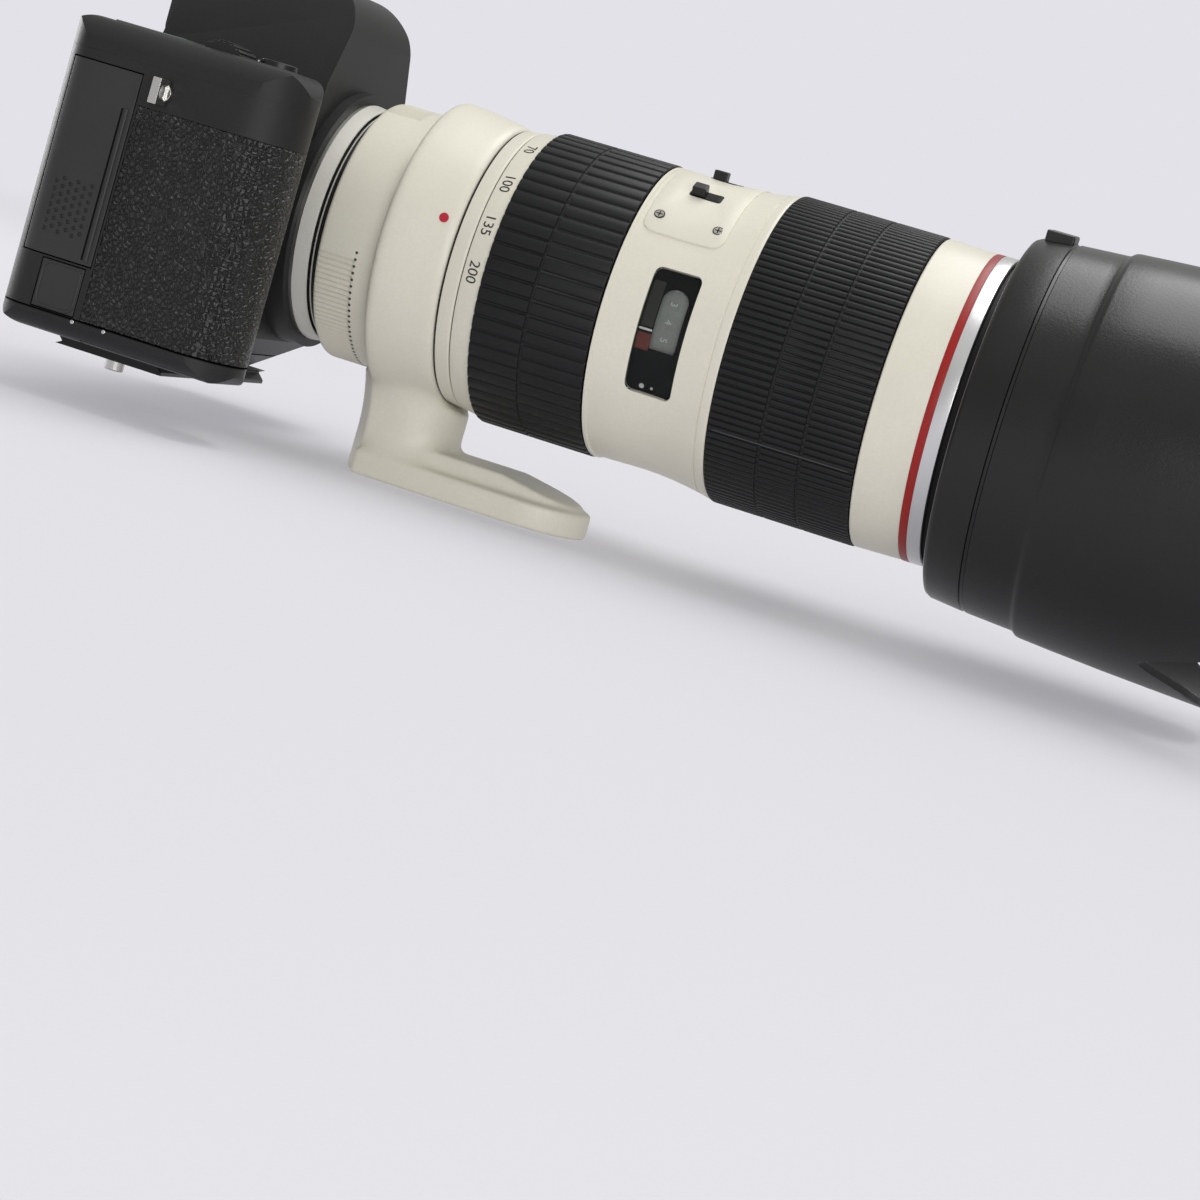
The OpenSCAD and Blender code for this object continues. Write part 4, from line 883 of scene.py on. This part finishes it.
# ---- Focus ring ----
# A wide rubber sleeve of fine ribs, with two cuts round it and a lighter grey strip along one rib.
FOCUS_RIBS = 132
FINE_RIB = ((0, 1), (0.14, 1), (0.22, 0.35), (0.32, 0.05), (0.57, 0), (0.82, 0.05), (0.92, 0.35))
ribbed("focus_ribs", "focus_rubber", FOCUS_RIBS, FINE_RIB, 0.6, [0.36, 0.64], ring_rubber)
focus_start, focus_end, focus_r = reach("focus_rubber")
# A strip along one rib: the same rubber, lighter grey.
pale_strip_rubber = grained("pale_strip_rubber", "#4A4B4C", "#3C3D3E", 0.6, 0.4, 0.0)
stand_in(plate("pale_rib_strip", (focus_start + focus_end) / 2, math.radians(-31.5),
               (focus_end - focus_start) / 2 - 1.2, 0.17, 0.05, focus_r - 0.4, focus_r, pale_strip_rubber, 0.03),
         "focus_rubber")

# ---- Front of the lens ----
# A white barrel, a red ring, a satin silver ring, then a black mount for the hood with
# the filter thread inside it and the front element behind the thread.
white_start, lens_end, _ = reach("front_barrel")
red_start, red_end, trim_r = reach("red_ring")
name_end = reach("name_ring")[1]
stand_in(turned("front_sleeve", [
    (white_start, trim_r - 4), (white_start, trim_r - 0.1), (white_start + 0.4, trim_r + 0.3),
    (red_start, trim_r - 0.1), (red_start, trim_r - 4)], enamel), "front_barrel")
thread = [(name_end + 7.4 - 0.75 * k - shift, 38.55 + 0.3 * out)
          for k in range(9) for shift, out in ((0, 0), (0.375, 1))]
stand_in(turned("hood_mount", [
    (red_start, trim_r - 4), (red_start, trim_r - 0.95), (name_end, trim_r - 0.95),
    (name_end, trim_r - 1.5), (lens_end, trim_r - 1.5), (lens_end, 38.8), *thread, (name_end + 0.4, 38.6),
    (name_end + 0.4, 37.6), (name_end - 4, 37.6)], matt_anodised, 0.12), "front_barrel")
# Red enamel on aluminium: deep and glossy.
ring_red = grained("red_ring_enamel", "#9E0F08", "#8C0B06", 0.38, 0.7, 0.004)
stand_in(hoop("red_trim", red_start, red_end, trim_r - 1, trim_r, ring_red, 0.15), "red_ring")
# Aluminium, turned and clear anodised: silver and satin, with fine lines round it.
silver_anodised = turned_finish("clear_anodised_aluminium", "#DEDEDE", "#CDCDCE", 0.3, 0.1, 0.003)
stand_in(turned("silver_trim", [
    (red_end, trim_r - 1), (red_end, trim_r), (name_end - 0.3, trim_r), (name_end, trim_r - 0.3),
    (name_end, trim_r - 1)], silver_anodised, 0.12), "name_ring")
# Coated glass: almost black from outside, with a violet gloss.
coated_glass, coated_place = new_finish("coated_front_element")
surfaced(coated_glass, {
    "Base Color": between(coated_glass, noise(coated_glass, coated_place, 30.0), "#06050A", "#0B0A12"),
    "Roughness": 0.02, "IOR": 1.7, "Specular Tint": linear("#B79CF0"), "Coat Weight": 1.0,
    "Coat Roughness": 0.01, "Coat Tint": linear("#9FD8C0")})
GLASS_R = 37.7
share = np.linspace(0.002, 1, 28)
dome = np.stack([name_end - 0.8 - 5.2 * share ** 2, GLASS_R * share], -1)
back = np.stack([name_end - 15.8 + 5.0 * share[::-1] ** 2, GLASS_R * share[::-1]], -1)
lens_path = np.concatenate([dome, back])
stand_in(skin("front_element", on_axis(lens_path[:, :1], lens_path[:, 1:], all_round(180)), coated_glass),
         "front_glass")

# ---- Hood ----
# A moulded bayonet hood, matt black outside and flocked inside. Its front edge is cut
# back in four places, which leaves two long and two short petals.
# Its outer radius against the distance from the rear edge:
FLARE = np.array([(0, 49.5), (0.5, 50.6), (1.8, 51.3), (10.8, 52.2), (11.1, 51.75), (11.9, 51.75),
                  (12.2, 52.3), (23.3, 53.0), (25.3, 53.12), (25.9, 53.3), (26.5, 53.8), (27.1, 54.25),
                  (28.0, 54.45), (36.9, 55.1), (51.4, 56.0), (66.0, 56.7), (98.0, 58.1)])
# The front edge's distance back from the tips, against the distance across the petals
# from the middle of a short one:
RIM = np.array([(0, 15), (8, 15.4), (16, 17.4), (22, 21.5), (26, 27), (29, 32.5), (31.6, 35.5), (34, 33.5),
                (37, 27), (40, 20), (44, 12.5), (48, 7), (52, 3), (56, 0.6), (62, 0)])
HOOD_WALL = 2.0
HOOD_COLUMNS = 720
STRETCH_X = 55.0        # rows behind this keep their place, those before it follow the front edge
hood_start, hood_end, _ = reach("hood")
turn = all_round(HOOD_COLUMNS)


def hood_edge(r):
    """Where the front edge lies at radius r, all round: the RIM table at w = r |cos(angle)|, evened over
    6 degrees, and 0.12 mm short of it."""
    set_back = np.interp(r * np.abs(np.cos(turn - LENS_TURN)), *RIM.T)
    kernel = np.hanning(13)
    padded = np.pad(set_back, 6, "wrap")
    return hood_end - hood_start - np.convolve(padded, kernel / kernel.sum(), "valid") - 0.12


def rows_at(*values):
    """Rows of one value all round."""
    return np.repeat(np.array(values, float)[:, None], HOOD_COLUMNS, 1)


outer_edge, inner_edge = hood_edge(56.8), hood_edge(55.0)
spread = np.linspace(0, 1, 14)[1:, None]
outer = np.vstack([rows_at(*FLARE[FLARE[:, 0] < STRETCH_X, 0], STRETCH_X),
                   STRETCH_X + spread * (outer_edge - 0.5 - STRETCH_X)])
inner = np.vstack([STRETCH_X + spread[::-1] * (inner_edge - 0.5 - STRETCH_X),
                   rows_at(STRETCH_X, 40, 28.5, 20, 12, 5.2)])
rim_x = np.vstack([outer_edge - 0.1, (outer_edge + inner_edge) / 2, inner_edge - 0.1])
rim_r = np.interp(rim_x, *FLARE.T) - rows_at(0.35, HOOD_WALL / 2, HOOD_WALL - 0.35)
hood_x = np.vstack([outer, rim_x, inner, rows_at(5, 5, 0.3)])
hood_r = np.vstack([np.interp(outer, *FLARE.T), rim_r, np.interp(inner, *FLARE.T) - HOOD_WALL,
                    rows_at(47, 42.6, 42.6)])
# Moulded glass-filled nylon, blasted: near black, with a broad and slightly uneven gleam.
hood_black = grained("blasted_nylon", "#0B0B0B", "#060606", 0.31, 0.9, 0.04, ior=1.48, smears=0.7)
# Flock: short fibres glued on, black from every side.
flock = grained("black_flock", "#0D0D0D", "#070707", 0.95, 0.2, 0.08, sheen=0.3)
hood = skin("hood_shell", on_axis(hood_start + hood_x, hood_r, turn), hood_black)
hood.data.materials.append(flock)
row_of = np.arange(len(hood.data.polygons)) // HOOD_COLUMNS
inside = (row_of > len(outer) + 1) & (row_of < len(outer) + 3 + len(inner))
hood.data.polygons.foreach_set("material_index", inside.astype(np.int32))
stand_in(hood, "hood")
soften(acetal, "hood_button", 0.6, 3)
